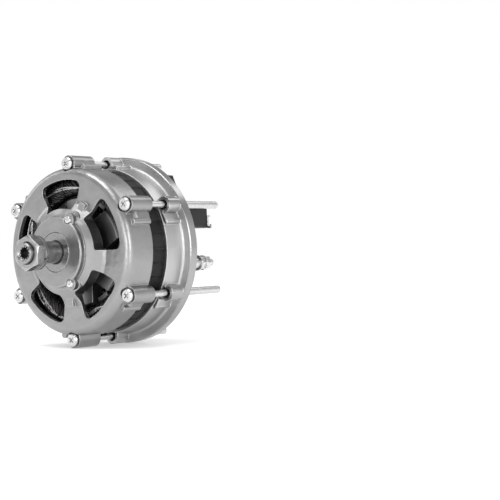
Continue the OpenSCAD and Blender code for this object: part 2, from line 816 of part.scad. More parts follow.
module field_bobbin() {
    color([0.15, 0.15, 0.16]) axial() difference() {
        rod(bobbin_r, plate_z0 + seat, plate_z1 - seat);
        tube(bobbin_r + 1, pole_core_r + bobbin_t, plate_z0 + bobbin_t, plate_z1 - bobbin_t);
        rod(pole_core_r + seat, plate_z0 - 1, plate_z1 + 1);
    }
}

module field_coil() {
    color([0.5, 0.25, 0.1]) axial()
        tube(bobbin_r - 0.8, pole_core_r + bobbin_t + seat,
             plate_z0 + bobbin_t + seat, plate_z1 - bobbin_t - seat);
}

module slip_sleeve() {
    color([0.1, 0.1, 0.1]) axial() tube(sleeve_r, tail_r + seat, shaft_rear, hub_end);
}

module slip_rings() {
    color([0.7, 0.45, 0.25]) axial() for (z = ring_mids)
        tube(slip_r, sleeve_r + seat, z - slip_w / 2, z + slip_w / 2);
}

// Brush gear
module brush_holder() {
    color([0.2, 0.2, 0.21]) axial() difference() {
        union() {
            rod(barrel_r, housing_end, hub_end);
            slab(housing_end, hub_end) box(-brush_box_half, brush_box_half, -brush_box_low, 0);
        }
        rod(chamber_r, housing_end - cut, hub_end + cut);
        for (z = ring_mids) slab(z - brush_t / 2 - slide, z + brush_t / 2 + slide)
            box(-brush_w / 2 - slide, brush_w / 2 + slide, -brush_stop, 0);
    }
}

module brush(z) {
    color([0.18, 0.17, 0.16]) axial() difference() {
        slab(z - brush_t / 2, z + brush_t / 2)
            box(-brush_w / 2, brush_w / 2, -slip_r - brush_l, -slip_r + 1.5);
        rod(slip_r + 0.05, z - brush_t, z + brush_t);
    }
}

module brush_inner() {
    brush(ring_mids[0]);
}

module brush_outer() {
    brush(ring_mids[1]);
}

// The coil spring that presses a brush on its ring
module spring(z) {
    top = -slip_r - brush_l - 0.15;
    low = 0.15 - brush_stop;
    turns = 5;
    wire = 0.35;
    rise = (top - low - wire * 2) / turns;
    coil = [for (i = [0:turns * 10]) [1.5 * cos(36 * i), low + wire + rise * i / 10, z + 1.5 * sin(36 * i)]];
    color([0.75, 0.75, 0.76]) axial() sweep(coil, wire, 6);
}

module spring_inner() {
    spring(ring_mids[0]);
}

module spring_outer() {
    spring(ring_mids[1]);
}

module rear_cap() {
    color([0.85, 0.85, 0.84]) axial() difference() {
        union() {
            translate([0, 0, housing_end - cap_t]) rotate_extrude() polygon([
                [0, 0], [cap_r - 0.8, 0], [cap_r, 0.8], [cap_r, cap_t], [0, cap_t]]);
            tube(chamber_r - seat, chamber_r - 1.6, housing_end - 0.5, housing_end + 1.5);
        }
        rod(0.65, housing_end - cap_t - 1, housing_end - cap_t + 0.8);
    }
}

// Regulator
module regulator_outline() {
    polygon(rounded(regulator_corners, 1));
}

module regulator() {
    color([0.5, 0.51, 0.52]) axial() difference() {
        slab(-regulator_seat, regulator_z) regulator_outline();
        for (s = [-1, 1]) at([s * regulator_half, regulator_y]) rod(2 + slide, 0, regulator_z - 1);
        at(rivet_at) rod(1.5 + seat, 0, regulator_z - 1);
    }
}

// The finned cover with two long ribs across it
module regulator_cover() {
    color([0.5, 0.51, 0.52]) axial() difference() {
        union() {
            slab(regulator_z, regulator_end) box(cover_x[0], cover_x[1], cover_y[0], cover_y[1]);
            for (y = long_ribs_y) slab(regulator_z, regulator_end - 1.5)
                box(-long_rib_half, long_rib_half, y, y + long_rib_w);
        }
        for (y = cover_slots_y) slab(regulator_end + cover_slot_deep, regulator_end - cut)
            box(cover_x[0] + 1.2, cover_x[1] - 1.2, y, y + cover_slot_w);
        slab(regulator_end + 0.5, regulator_end - cut)
            box(cover_x[0] + 3, cover_x[1] - 3, cover_panel_y[0], cover_panel_y[1]);
    }
}

module regulator_rivet() {
    color([0.7, 0.7, 0.7]) axial() at(rivet_at) {
        rod(1.5, -regulator_seat - 0.2, regulator_z);
        translate([0, 0, regulator_z]) rotate([180, 0, 0])
            rotate_extrude() polygon(concat([[0, 0], [2.3, 0]], arc([0, -0.6], 2, 20, 90, 3)));
    }
}

module regulator_tab() {
    color([0.8, 0.8, 0.8]) axial() slab(regulator_z, regulator_z - tab_t)
        round_box(tab_x[0], tab_x[1], tab_y[0], tab_y[1], 0.8);
}

// A slotted pan-head screw pointing forward from its head's seat
module face_screw(r, head, rise, z, tip) {
    difference() {
        union() {
            rod(r, tip, z);
            translate([0, 0, z]) rotate([180, 0, 0]) rotate_extrude() polygon([
                [0, 0], [head, 0], [head, rise * 0.5], [head * 0.72, rise], [0, rise]]);
        }
        slab(z - rise + 1, z - rise - cut) square([head * 1.5, 0.9], center = true);
        slab(z - rise + 1, z - rise - cut) square([0.9, head * 1.5], center = true);
    }
}

module regulator_screws() {
    color([0.85, 0.85, 0.86]) axial() for (s = [-1, 1]) at([s * regulator_half, regulator_y])
        face_screw(2 - seat, 4, 2.8, regulator_z, floor_in - 1);
}

// Rectifier block: a black moulding with three bays for the phase terminals
module tower_outline() {
    polygon([[block_x[1], block_low], [block_x[1], tower_side_y[1]], [tower_top_x[1], block_top],
             [tower_top_x[0], block_top], [block_x[0], tower_side_y[0]], [block_x[0], block_low]]);
}

module rectifier_block() {
    x0 = block_x[0] + block_wall;
    x1 = block_x[1] - block_wall;
    color([0.09, 0.09, 0.1]) axial() difference() {
        union() {
            slab(floor_rear, block_low_z) tower_outline();
            slab(floor_rear, block_z) intersection() {
                tower_outline();
                box(block_x[0], block_x[1], tower_low_y, block_top);
            }
            slab(-boss_rise - run, foot_z) box(foot_x0, block_x[0] + 2, block_low + 0.6, foot_y1);
            slab(floor_rear, -wing_t) box(-wing_half, wing_half, wing_y[0], wing_y[1]);
            for (i = [-1:1], d = fins_x) if (i > -1 || d > 0) slab(block_z, block_low_z)
                translate([phase_x0 + i * phase_pitch + d, fin_y[0]]) square([fin_w, fin_y[1] - fin_y[0]]);
            for (i = [0:rib_count - 1]) slab(block_low_z - 1.2, block_low_z)
                translate([block_x[0] + 2.2 + i * rib_pitch, block_low + 1]) square([1.6, 6.6]);
        }
        tube(flange_r, ring_r - floor_sink - run, -run, floor_rear + 1);
        tube(flange_r, ring_r - run, -plate_room, 0);
        slab(floor_rear + 1, sink_z - sink_t) box(x0, x1, sink_y[0], block_top - block_wall - 2);
        for (i = [-1:1]) at([phase_x0 + i * phase_pitch, lead_hole_y]) rod(2, floor_rear, block_z);
        for (d = [-0.5, 0.5]) slab(floor_rear, block_z - 1)
            round_box(phase_x0 + d * phase_pitch - 4.4, phase_x0 + d * phase_pitch + 4.4, 35.5, 46, 2);
        for (i = [-1:1]) slab(block_z + 2.5, block_z - 1)
            box(phase_x0 + i * phase_pitch - 3, phase_x0 + i * phase_pitch + 3, 47, block_top + 1);
        for (d = [-0.5, 0.5]) slab(block_z + 1.5, block_z - 1)
            round_box(phase_x0 + d * phase_pitch - 4, phase_x0 + d * phase_pitch + 4, 57.6, block_top + 4, 1);
    }
}

module heat_sink() {
    color([0.68, 0.69, 0.7]) axial() difference() {
        slab(sink_z, sink_z - sink_t)
            box(block_x[0] + block_wall, block_x[1] - block_wall, sink_y[0], sink_y[1]);
        for (i = [-1:1]) at([phase_x0 + i * phase_pitch, positive_y]) rod(positive_r, 0, block_z);
    }
}

module diode(z, r) {
    rod(r, z, z - 3);
    rod(r * 0.72, z - 3, z - 4.6);
    rod(0.6, z - 4.6, z - 7);
}

module positive_diodes() {
    color([0.7, 0.7, 0.72]) axial() for (i = [-1:1]) at([phase_x0 + i * phase_pitch, positive_y])
        translate([0, 0, sink_z]) mirror([0, 0, 1]) diode(sink_t, positive_r - seat);
}

module negative_diodes() {
    color([0.7, 0.7, 0.72]) axial() for (i = [-1:1]) at([phase_x0 + i * phase_pitch, diode_y])
        diode(floor_in - 0.5, negative_r - seat);
}

// A phase terminal is a strip with an eye at its top and a crimped barrel at its foot
module phase_terminals() {
    z = block_z + 2.5;
    color([0.83, 0.83, 0.82]) axial() for (i = [-1:1]) translate([phase_x0 + i * phase_pitch, 0, 0]) {
        slab(z, z - 0.9) difference() {
            union() {
                box(-1, 1, 45, 59);
                translate([0, 59.4]) circle(1.9);
            }
            translate([0, 59.4]) circle(0.8);
        }
        difference() {
            slab(z + 2, z - 3) round_box(-2.8, 2.8, 43.4, 47.4, 0.8);
            slab(z, z - 4) box(-1.3, 1.3, 43, 46.4);
        }
        translate([0, 43.6, z - 1]) rotate([90, 0, 0]) cylinder(r = 1.5, h = 2.6);
    }
}

// The three stator leads, which rise from the windings to their terminals
module phase_leads() {
    color([0.25, 0.13, 0.06]) axial() for (i = [-1:1])
        at([phase_x0 + i * phase_pitch, lead_hole_y]) rod(1.4, floor_in + rear_room - 1, block_z + 4.5);
}

module block_tabs() {
    color([0.8, 0.8, 0.8]) axial() for (d = [-0.5, 0.5]) slab(block_z + 1.5, block_z - 0.6)
        box(phase_x0 + d * phase_pitch - 3.4, phase_x0 + d * phase_pitch + 3.4, 58, 59.8);
}

module block_screws() {
    color([0.85, 0.85, 0.86]) axial() for (x = block_screw_x) at([x, block_screw_y])
        face_screw(1.8 - seat, block_head_r, 2.6, floor_rear, floor_in);
}

// Battery terminal: a stud in a sleeve, with two nuts and a strap to the brush gear
module battery_stud() {
    color([0.8, 0.8, 0.8]) axial() at(battery_at) union() {
        rotate_extrude() polygon([
            [0, -battery_h], [battery_d / 2 - 0.8, -battery_h], [battery_d / 2, 0.8 - battery_h],
            [battery_d / 2, floor_in], [0, floor_in]]);
        rod(battery_d / 2 + 2, floor_in, floor_in + 1.6);
    }
}

module battery_sleeve() {
    color([0.74, 0.74, 0.75]) axial() at(battery_at)
        tube(sleeve_out_r, battery_d / 2 + seat, pad_z - strap_t, sleeve_z);
}

module nut(af, t) {
    difference() {
        cylinder(r = af / 2 / cos(30), h = t, $fn = 6);
        translate([0, 0, -cut]) cylinder(r = battery_d / 2 + seat, h = t + 1);
    }
}

module battery_nuts() {
    color([0.78, 0.78, 0.79]) axial() at(battery_at) {
        for (i = [0, 1]) translate([0, 0, sleeve_z - i * (battery_nut_t + battery_washer_t)]) {
            tube(battery_washer_r - i * 0.3, battery_d / 2 + seat, 0, -battery_washer_t);
            translate([0, 0, -battery_washer_t - battery_nut_t]) nut(battery_nut_af, battery_nut_t);
        }
    }
}

module battery_strap() {
    z = pad_z - strap_t;
    color([0.82, 0.82, 0.82]) axial() slab(pad_z, z) difference() {
        union() {
            translate(battery_at) circle(battery_washer_r);
            round_box(strap_x0, battery_at.x - 2, strap_y[0], strap_y[1], 0.8);
        }
        translate(battery_at) circle(battery_d / 2 + seat);
    }
}

// Side terminal: a black post that carries a riveted bracket
module side_post() {
    color([0.09, 0.09, 0.1]) axial() difference() {
        union() {
            slab(post_z, -side_h) round_box(post_x[0], post_x[1], post_y[0], post_y[1], 1.5);
            slab(post_z, -shelf_h) round_box(shelf_x[0], shelf_x[1], shelf_y[0], shelf_y[1], 1);
        }
        at(side_at) rod(side_rivet_r + seat, 2 - side_h, -side_h - 1);
    }
}

module side_bracket() {
    z = -side_h;
    color([0.85, 0.85, 0.84]) axial() difference() {
        union() {
            slab(z, z - bracket_t) union() {
                round_box(bracket_x[0], bracket_x[1], bracket_y[0], bracket_y[1], 1);
                polygon(bracket_arm);
                polygon(bracket_hook);
                polygon(bracket_prong);
            }
            slab(z, z - bracket_lip_h) translate([bracket_lip_x[0], bracket_y[1] - bracket_t])
                square([bracket_lip_x[1] - bracket_lip_x[0], bracket_t]);
        }
        at(side_at) rod(side_rivet_r + seat, z + 1, z - 3);
    }
}

module side_rivet() {
    color([0.75, 0.75, 0.75]) axial() at(side_at) {
        rod(side_rivet_r, 2 - side_h, -side_h - 2);
        tube(3.9, side_rivet_r, -side_h - bracket_t, -side_h - 2);
        translate([0, 0, -side_h - 2]) mirror([0, 0, 1]) cylinder(r1 = 2, r2 = 1.4, h = 0.9);
    }
}

// Round terminal, insulated from the case
module round_insulator() {
    color([0.12, 0.12, 0.12]) axial() at(round_at) difference() {
        union() {
            rod(insulator_hole_r - seat, floor_in, -boss_rise);
            rod(insulator_r, -boss_rise, 2 - round_h);
        }
        rod(terminal_pin_r + seat, floor_in + 1, -round_h);
    }
}

module round_terminal() {
    color([0.8, 0.8, 0.8]) axial() at(round_at) {
        rod(terminal_pin_r, floor_in, -round_h);
        rod(7.1, -round_h, -round_h - 1.6);
        translate([0, 0, -round_h - 1.6]) mirror([0, 0, 1]) rotate_extrude()
            polygon(concat([[0, 0], [3.4, 0]], arc([0, -0.8], 3.2, 20, 90, 4)));
        slab(-round_h, -round_h - 1.2) box(-2, 2, -11, -6);
    }
}

// Two blade terminals that share the round terminal's screw
module blade_terminals() {
    z = -round_h + 1;
    color([0.85, 0.85, 0.84]) axial() at(round_at) difference() {
        slab(-round_h, z + 1) union() {
            circle(6.6);
            box(blade_end_x, -4, blade_y[0], blade_y[1]);
            polygon(blade_drop);
            rotate(blade_turn) translate([4, -blade_w / 2]) square([blade_len, blade_w]);
        }
        rod(terminal_pin_r + seat, 0, -round_h - 1);
    }
}

// Earth terminal: a square pad with a conical recess and its screw
module earth_outline(grow) {
    half = earth_w / 2 + grow;
    round_box(-half, half, -half, half - 1, 2.8 + grow);
}

module earth_pad() {
    color([0.7, 0.71, 0.72]) axial() at(earth_at) difference() {
        slab(floor_rear, floor_rear - earth_t) earth_outline(0);
        translate([0, 0, floor_rear - earth_t - seat]) cylinder(r1 = 7.2, r2 = 3.6, h = 2 + seat);
        rod(2 + slide, floor_rear + 1, floor_rear - earth_t);
    }
}

module earth_screw() {
    color([0.6, 0.6, 0.6]) axial() at(earth_at)
        face_screw(2 - seat, 3, 2, floor_rear - earth_t + 2, floor_in - 1);
}

// A smooth curve through a route's points
function smooth(p, q, r, s, t) = 0.5 * (2 * q + (r - p) * t + (2 * p - 5 * q + 4 * r - s) * t * t
    + (3 * q - p - 3 * r + s) * t * t * t);

function route(pts, n) = let (m = len(pts) - 1) concat(
    [for (i = [0:m - 1], j = [0:n - 1])
        smooth(pts[max(i - 1, 0)], pts[i], pts[i + 1], pts[min(i + 2, m)], j / n)],
    [pts[m]]);

function ring(c, dir, r, sides) =
    let (a = unit(cross(dir, abs(dir.z) < 0.9 ? [0, 0, 1] : [1, 0, 0])), b = cross(dir, a))
    [for (k = [0:sides - 1]) c + r * (a * cos(360 * k / sides) + b * sin(360 * k / sides))];

// A round wire swept along a path of points
module sweep(path, r, sides) {
    last = len(path) - 1;
    rings = [for (i = [0:last]) ring(path[i], unit(path[min(i + 1, last)] - path[max(i - 1, 0)]), r, sides)];
    polyhedron(
        points = [for (c = rings) each c],
        faces = concat(
            [[for (k = [0:sides - 1]) k]],
            [for (i = [0:last - 1], k = [0:sides - 1]) let (m = (k + 1) % sides)
                each [[i * sides + k, (i + 1) * sides + k, (i + 1) * sides + m],
                      [i * sides + k, (i + 1) * sides + m, i * sides + m]]],
            [[for (k = [sides - 1:-1:0]) last * sides + k]]
        )
    );
}

module lead_a() {
    color([0.95, 0.95, 0.93]) axial() sweep(route(lead_a_route, 2), lead_r, 8);
}

module lead_b() {
    color([0.95, 0.95, 0.93]) axial() sweep(route(lead_b_route, 2), lead_r, 8);
}

front_case();
rear_case();
stator_core();
stator_windings();
through_bolts();
shaft();
spacer_ring();
lock_washer();
shaft_nut();
front_race_outer();
front_race_inner();
front_balls();
front_seals();
bearing_retainer();
retainer_screws();
rear_race_outer();
rear_race_inner();
rear_balls();
front_pole();
rear_pole();
rotor_core();
field_bobbin();
field_coil();
slip_sleeve();
slip_rings();
brush_holder();
brush_inner();
brush_outer();
spring_inner();
spring_outer();
rear_cap();
regulator();
regulator_cover();
regulator_rivet();
regulator_tab();
regulator_screws();
rectifier_block();
heat_sink();
positive_diodes();
negative_diodes();
phase_terminals();
phase_leads();
block_tabs();
block_screws();
battery_stud();
battery_sleeve();
battery_nuts();
battery_strap();
side_post();
side_bracket();
side_rivet();
round_insulator();
round_terminal();
blade_terminals();
earth_pad();
earth_screw();
lead_a();
lead_b();
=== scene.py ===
# %% [markdown]
# The object is an engine alternator: two cast aluminium cases with a black stator core between
# them, a steel shaft, long zinc-plated bolts and an open rear with its electrical parts. The
# model's shapes come ready made, so this script gives each of them its finish, and adds what is
# too fine for them: wires, threads, low pads, weld beads, solder and crimps. The loader puts
# every part where it belongs, in metres.

# %% Load the frame
import json
import math

import bpy
import numpy as np
from mathutils import Matrix, Vector


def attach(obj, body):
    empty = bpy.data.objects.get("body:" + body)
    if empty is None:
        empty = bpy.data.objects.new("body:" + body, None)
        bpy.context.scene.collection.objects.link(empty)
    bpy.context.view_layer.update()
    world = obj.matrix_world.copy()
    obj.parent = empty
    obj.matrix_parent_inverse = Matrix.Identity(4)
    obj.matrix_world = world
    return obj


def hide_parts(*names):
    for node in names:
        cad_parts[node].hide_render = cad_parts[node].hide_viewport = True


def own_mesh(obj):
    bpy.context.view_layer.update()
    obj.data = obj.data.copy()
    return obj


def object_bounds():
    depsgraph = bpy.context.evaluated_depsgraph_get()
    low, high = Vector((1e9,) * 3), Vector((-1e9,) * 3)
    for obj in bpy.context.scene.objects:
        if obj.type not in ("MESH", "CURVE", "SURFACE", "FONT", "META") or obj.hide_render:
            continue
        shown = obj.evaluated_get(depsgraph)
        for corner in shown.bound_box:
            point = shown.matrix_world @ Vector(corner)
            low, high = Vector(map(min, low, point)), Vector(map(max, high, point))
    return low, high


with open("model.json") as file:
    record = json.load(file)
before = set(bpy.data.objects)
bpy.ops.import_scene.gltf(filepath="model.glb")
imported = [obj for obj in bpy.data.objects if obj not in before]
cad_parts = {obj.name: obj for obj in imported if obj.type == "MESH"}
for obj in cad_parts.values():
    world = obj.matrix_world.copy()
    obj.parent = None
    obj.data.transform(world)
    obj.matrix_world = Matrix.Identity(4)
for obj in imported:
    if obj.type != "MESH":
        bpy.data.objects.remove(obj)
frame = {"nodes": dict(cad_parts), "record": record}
nodes = frame["nodes"]
record = frame["record"]
cad_box = [list(corner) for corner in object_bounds()]
print("CAD box", cad_box)

# %% [markdown]
# The camera stands where the picture was taken from: low, level with the shaft, and turned about
# 43 degrees from the shaft's nose. It looks past the object's right side, so the object sits left
# of the middle as in the picture. A shifted lens would do the same, but the camera is turned
# instead, so that views from other sides stay centred.

# %% Camera
AZIMUTH = math.radians(42.91)
ELEVATION = math.radians(-0.15)
ROLL = math.radians(1.88)
DISTANCE = 1.0574
FOCAL_PX = 1290.0
FRAME_PX = 500.0
ORIGIN_PX = (126.9, 250.1)
SENSOR = 36.0


def standing(target, azimuth, elevation, distance):
    """A place at a distance from the target, turned to look back at it along its own minus Z.

    The way there is the sine of the azimuth in X and minus its cosine in Y, both times the cosine
    of the elevation, and the sine of the elevation in Z. Azimuth zero is the shaft's nose.
    """
    away = Vector((math.sin(azimuth) * math.cos(elevation),
                   -math.cos(azimuth) * math.cos(elevation), math.sin(elevation)))
    turned = away.to_track_quat("Z", "Y").to_matrix().to_4x4()
    return Matrix.Translation(target + away * distance) @ turned


def camera_matrix():
    """Looks at the origin, then rolls, pans and tilts until the origin lands on ORIGIN_PX.

    Pan and tilt are the arc tangents of the origin's offset from the middle over FOCAL_PX.
    """
    pan = math.atan((FRAME_PX / 2 - ORIGIN_PX[0]) / FOCAL_PX)
    tilt = math.atan((ORIGIN_PX[1] - FRAME_PX / 2) / FOCAL_PX)
    turn = Matrix.Rotation(-ROLL, 4, "Z") @ Matrix.Rotation(-pan, 4, "Y") \
        @ Matrix.Rotation(tilt, 4, "X")
    return standing(Vector((0, 0, 0)), AZIMUTH, ELEVATION, DISTANCE) @ turn


camera_data = bpy.data.cameras.new("camera")
camera_data.sensor_width = SENSOR
camera_data.lens = SENSOR * FOCAL_PX / FRAME_PX
camera = bpy.data.objects.new("camera", camera_data)
camera.matrix_world = camera_matrix()
bpy.context.scene.collection.objects.link(camera)
bpy.context.scene.camera = camera
bpy.context.scene.view_settings.view_transform = "Standard"
print("lens", round(camera_data.lens, 1), "mm")

# %% [markdown]
# Every finish below is a tree of shader nodes. A tree could be drawn by hand in the node editor,
# but code builds many of them alike and shows their numbers. These helpers keep it short: they
# clear a tree, add a node with its values, and fill a socket with a number or with a link.

# %% Helpers that build node trees
def tree_of(owner):
    """The emptied node tree of a material or a world."""
    owner.use_nodes = True
    owner.node_tree.nodes.clear()
    return owner.node_tree


def add(tree, kind, **values):
    """Adds a node; a value goes to the socket of that name, or else to the node's own property."""
    node = tree.nodes.new(kind)
    for key, value in values.items():
        name = key.replace("_", " ")
        socket = next((s for s in node.inputs if s.name.lower() == name.lower()), None)
        if socket is not None and not hasattr(type(node), key):
            socket.default_value = value
        else:
            setattr(node, key, value)
    return node


def feed(tree, value, socket):
    """Links the value to the socket if it is another node's output, or else writes it there."""
    if isinstance(value, bpy.types.NodeSocket):
        tree.links.new(value, socket)
    else:
        socket.default_value = value


def math_node(tree, operation, *values):
    """The result of a Math node, whose values are outputs or numbers."""
    node = tree.nodes.new("ShaderNodeMath")
    node.operation = operation
    for value, socket in zip(values, node.inputs):
        feed(tree, value, socket)
    return node.outputs[0]


def vector_node(tree, operation, *vectors, scale=None):
    """The result of a Vector Math node, whose vectors are outputs or three numbers."""
    node = tree.nodes.new("ShaderNodeVectorMath")
    node.operation = operation
    for vector, socket in zip(vectors, node.inputs):
        feed(tree, vector, socket)
    if scale is not None:
        feed(tree, scale, node.inputs["Scale"])
    return node.outputs["Value" if operation == "DOT_PRODUCT" else "Vector"]


# %% [markdown]
# Two more things come up in every finish: where on the object a point is, and a colour between
# two others. The Mix node serves vectors as well as colours, and keeps its sockets for both, so
# the helper picks those of the kind that it mixes.

# %% Helpers for places and colours
def coordinates(tree, kind):
    """The X, Y and Z of one kind of texture coordinates."""
    coords = tree.nodes.new("ShaderNodeTexCoord")
    split = tree.nodes.new("ShaderNodeSeparateXYZ")
    tree.links.new(coords.outputs[kind], split.inputs[0])
    return tuple(split.outputs)


def mixed(tree, factor, a, b, kind="RGBA"):
    """A mix from a to b: both are outputs, or colours where the kind is RGBA."""
    node = tree.nodes.new("ShaderNodeMix")
    node.data_type = kind
    for name, value in (("A", a), ("B", b)):
        feed(tree, value, next(s for s in node.inputs if s.name == name and s.type == kind))
    feed(tree, factor, node.inputs[0])
    return next(s for s in node.outputs if s.type == kind)


def grey(level):
    """A colour with the same level in red, green and blue."""
    return (level, level, level, 1)


def scaled(colour, gain):
    """Each channel times the gain, but one at most."""
    return (*(min(1.0, channel * gain) for channel in colour[:3]), 1)


print("a grey of 0.5 times 1.5 is", scaled(grey(0.5), 1.5))

# %% [markdown]
# World and floor each show one thing as a background and light the object with another, because
# a floor that is white to the camera would be too bright as a lamp. A render pass for each would
# need a compositor. The Light Path node knows what a ray is for, so it can choose in one pass.

# %% Choose by the kind of ray
def seen_or_lit(tree, lit, seen):
    """Shows `seen` to the rays that show a background, and `lit` to all others.

    Rays that show it are those of the camera, of reflections and through glass.
    """
    path = tree.nodes.new("ShaderNodeLightPath")
    mirrored = math_node(tree, "MAXIMUM", path.outputs["Is Glossy Ray"],
                         path.outputs["Is Transmission Ray"])
    mix = tree.nodes.new("ShaderNodeMixShader")
    tree.links.new(math_node(tree, "MAXIMUM", path.outputs["Is Camera Ray"], mirrored),
                   mix.inputs[0])
    tree.links.new(lit, mix.inputs[1])
    tree.links.new(seen, mix.inputs[2])
    return mix.outputs[0]


# %% [markdown]
# The world is what metal reflects, so it does most of the work here. Near the horizon it is plain
# white, to the camera and in reflections alike. Higher up it has a grey band and a bright top, as
# a studio ceiling with a softbox has, because curved metal only reads as metal when it mirrors
# light and dark. All other light comes from a softer ramp of its own.

# %% World
WHITE_UP_TO = 0.27
SEEN_STOPS = [(-1.0, 1.0), (WHITE_UP_TO, 1.0), (0.42, 0.62), (0.74, 0.40), (0.88, 0.85),
              (1.0, 1.0)]
SOFT_STOPS = [(-1.0, 0.42), (-0.15, 0.5), (0.15, 0.8), (0.5, 0.62), (1.0, 1.0)]
SOFT_LEVEL = 1.15


def height_ramp(tree, height, stops):
    """A grey for each height of the direction, from minus one straight down to one straight up.

    The ramp itself runs from zero to one, so a stop sits at half its height plus a half.
    """
    ramp = tree.nodes.new("ShaderNodeValToRGB")
    while len(ramp.color_ramp.elements) < len(stops):
        ramp.color_ramp.elements.new(0.5)
    for element, (place, level) in zip(ramp.color_ramp.elements, stops):
        element.position = place * 0.5 + 0.5
        element.color = grey(level)
    tree.links.new(height, ramp.inputs[0])
    return ramp.outputs[0]


def make_world():
    """Two backgrounds, each a ramp of the height, which is half the direction's Z plus a half."""
    world = bpy.data.worlds.new("studio")
    bpy.context.scene.world = world
    tree = tree_of(world)
    up = coordinates(tree, "Generated")[2]
    height = math_node(tree, "MULTIPLY_ADD", up, 0.5, 0.5)
    seen = tree.nodes.new("ShaderNodeBackground")
    tree.links.new(height_ramp(tree, height, SEEN_STOPS), seen.inputs["Color"])
    soft = add(tree, "ShaderNodeBackground", Strength=SOFT_LEVEL)
    tree.links.new(height_ramp(tree, height, SOFT_STOPS), soft.inputs["Color"])
    out = tree.nodes.new("ShaderNodeOutputWorld")
    tree.links.new(seen_or_lit(tree, soft.outputs[0], seen.outputs[0]), out.inputs[0])


make_world()
print("world is white up to", round(math.degrees(math.asin(WHITE_UP_TO))), "degrees")

# %% [markdown]
# The floor is a pale board that the flange and the bolt heads stand on. Part of its brightness is
# its own, in the camera and in reflections, so that it meets the white world without a line. The
# rest is lit, so the object's shadow stays.

# %% Floor
FLOOR_REACH = 6.0
FLOOR_GAP = 0.0003
FLOOR_GLOW = 0.32
FLOOR_COLOUR = grey(0.82)


def make_floor(low):
    """A square at the height `low` that reaches FLOOR_REACH metres each way."""
    mesh = bpy.data.meshes.new("floor")
    r = FLOOR_REACH
    mesh.from_pydata([(-r, -r, low), (r, -r, low), (r, r, low), (-r, r, low)], [],
                     [(0, 1, 2, 3)])
    floor = bpy.data.objects.new("floor", mesh)
    bpy.context.scene.collection.objects.link(floor)
    material = bpy.data.materials.new("pale floor")
    tree = tree_of(material)
    plain = add(tree, "ShaderNodeBsdfDiffuse", Color=FLOOR_COLOUR)
    glow = add(tree, "ShaderNodeEmission", Color=grey(1), Strength=FLOOR_GLOW)
    both = tree.nodes.new("ShaderNodeAddShader")
    tree.links.new(plain.outputs[0], both.inputs[0])
    tree.links.new(glow.outputs[0], both.inputs[1])
    out = tree.nodes.new("ShaderNodeOutputMaterial")
    tree.links.new(seen_or_lit(tree, plain.outputs[0], both.outputs[0]), out.inputs[0])
    mesh.materials.append(material)
    print("floor at", round(low * 1000, 2), "mm")


make_floor(cad_box[0][2] - FLOOR_GAP)

# %% [markdown]
# Five softboxes, at a level at which a colour renders about as it is written. The key stands at
# the right of the camera, where the photograph's bright lines come from. A narrow one in front of
# the shaft catches the hub's cone, one hangs above, one lights the left rim and one the back.

# %% Lamps
AIM = Vector((0, -0.03, 0))
LAMPS = [  # azimuth and elevation in degrees, distance, width and height, brightness
    ("key softbox", 58, 12, 1.5, (0.45, 0.8), 4.2),
    ("front softbox", 8, 6, 1.5, (0.22, 0.5), 9.0),
    ("top softbox", -10, 66, 1.5, (1.0, 0.6), 4.2),
    ("left softbox", -75, 30, 1.5, (0.4, 0.9), 2.2),
    ("back softbox", 160, 48, 1.6, (0.7, 0.6), 1.8),
]


def lamp(name, azimuth, elevation, distance, size, brightness):
    """A softbox whose face has the given brightness: its power is pi times the area times that."""
    light = bpy.data.lights.new(name, "AREA")
    light.shape = "RECTANGLE"
    light.size, light.size_y = size
    light.energy = math.pi * size[0] * size[1] * brightness
    softbox = bpy.data.objects.new(name, light)
    softbox.matrix_world = standing(AIM, math.radians(azimuth), math.radians(elevation), distance)
    bpy.context.scene.collection.objects.link(softbox)
    print(name, round(light.energy, 1), "W")


for values in LAMPS:
    lamp(*values)

# %% [markdown]
# Castings and plated steel all show a fine grain and slightly uneven brightness. Images could
# show it, but they would have to be wrapped round every part. A noise of the place in space needs
# no wrapping, so two noises make one node group, and each material uses it at its own scales.

# %% Group for grain and mottling
NOISE_ROUGHNESS = 0.55
GRAIN_DETAIL = 3.0
MOTTLE_DETAIL = 4.0


def new_group(name, inputs, outputs):
    """A node group with inputs (label, kind, value) and outputs (label, kind)."""
    group = bpy.data.node_groups.new(name, "ShaderNodeTree")
    for label, kind, value in inputs:
        socket = group.interface.new_socket(label, in_out="INPUT", socket_type=kind)
        socket.default_value = value
    for label, kind in outputs:
        group.interface.new_socket(label, in_out="OUTPUT", socket_type=kind)
    return group, group.nodes.new("NodeGroupInput"), group.nodes.new("NodeGroupOutput")


def use_group(tree, group, **values):
    """A node that holds the group, with its own values in the inputs named."""
    node = tree.nodes.new("ShaderNodeGroup")
    node.node_tree = group
    for key, value in values.items():
        node.inputs[key.replace("_", " ")].default_value = value
    return node


def surface_group():
    """Fine grain and broad mottling: each is a noise of the object coordinates times its scale."""
    group, inside, out = new_group(
        "grain and mottling",
        [("Grain Scale", "NodeSocketFloat", 900.0), ("Mottle Scale", "NodeSocketFloat", 40.0)],
        [("Grain", "NodeSocketFloat"), ("Mottle", "NodeSocketFloat")])
    coords = group.nodes.new("ShaderNodeTexCoord")
    for name, detail in (("Grain", GRAIN_DETAIL), ("Mottle", MOTTLE_DETAIL)):
        noise = add(group, "ShaderNodeTexNoise", Detail=detail, Roughness=NOISE_ROUGHNESS)
        group.links.new(coords.outputs["Object"], noise.inputs["Vector"])
        group.links.new(inside.outputs[name + " Scale"], noise.inputs["Scale"])
        group.links.new(noise.outputs["Fac"], out.inputs[name])
    return group


GRAIN = surface_group()
print("node group", GRAIN.name)

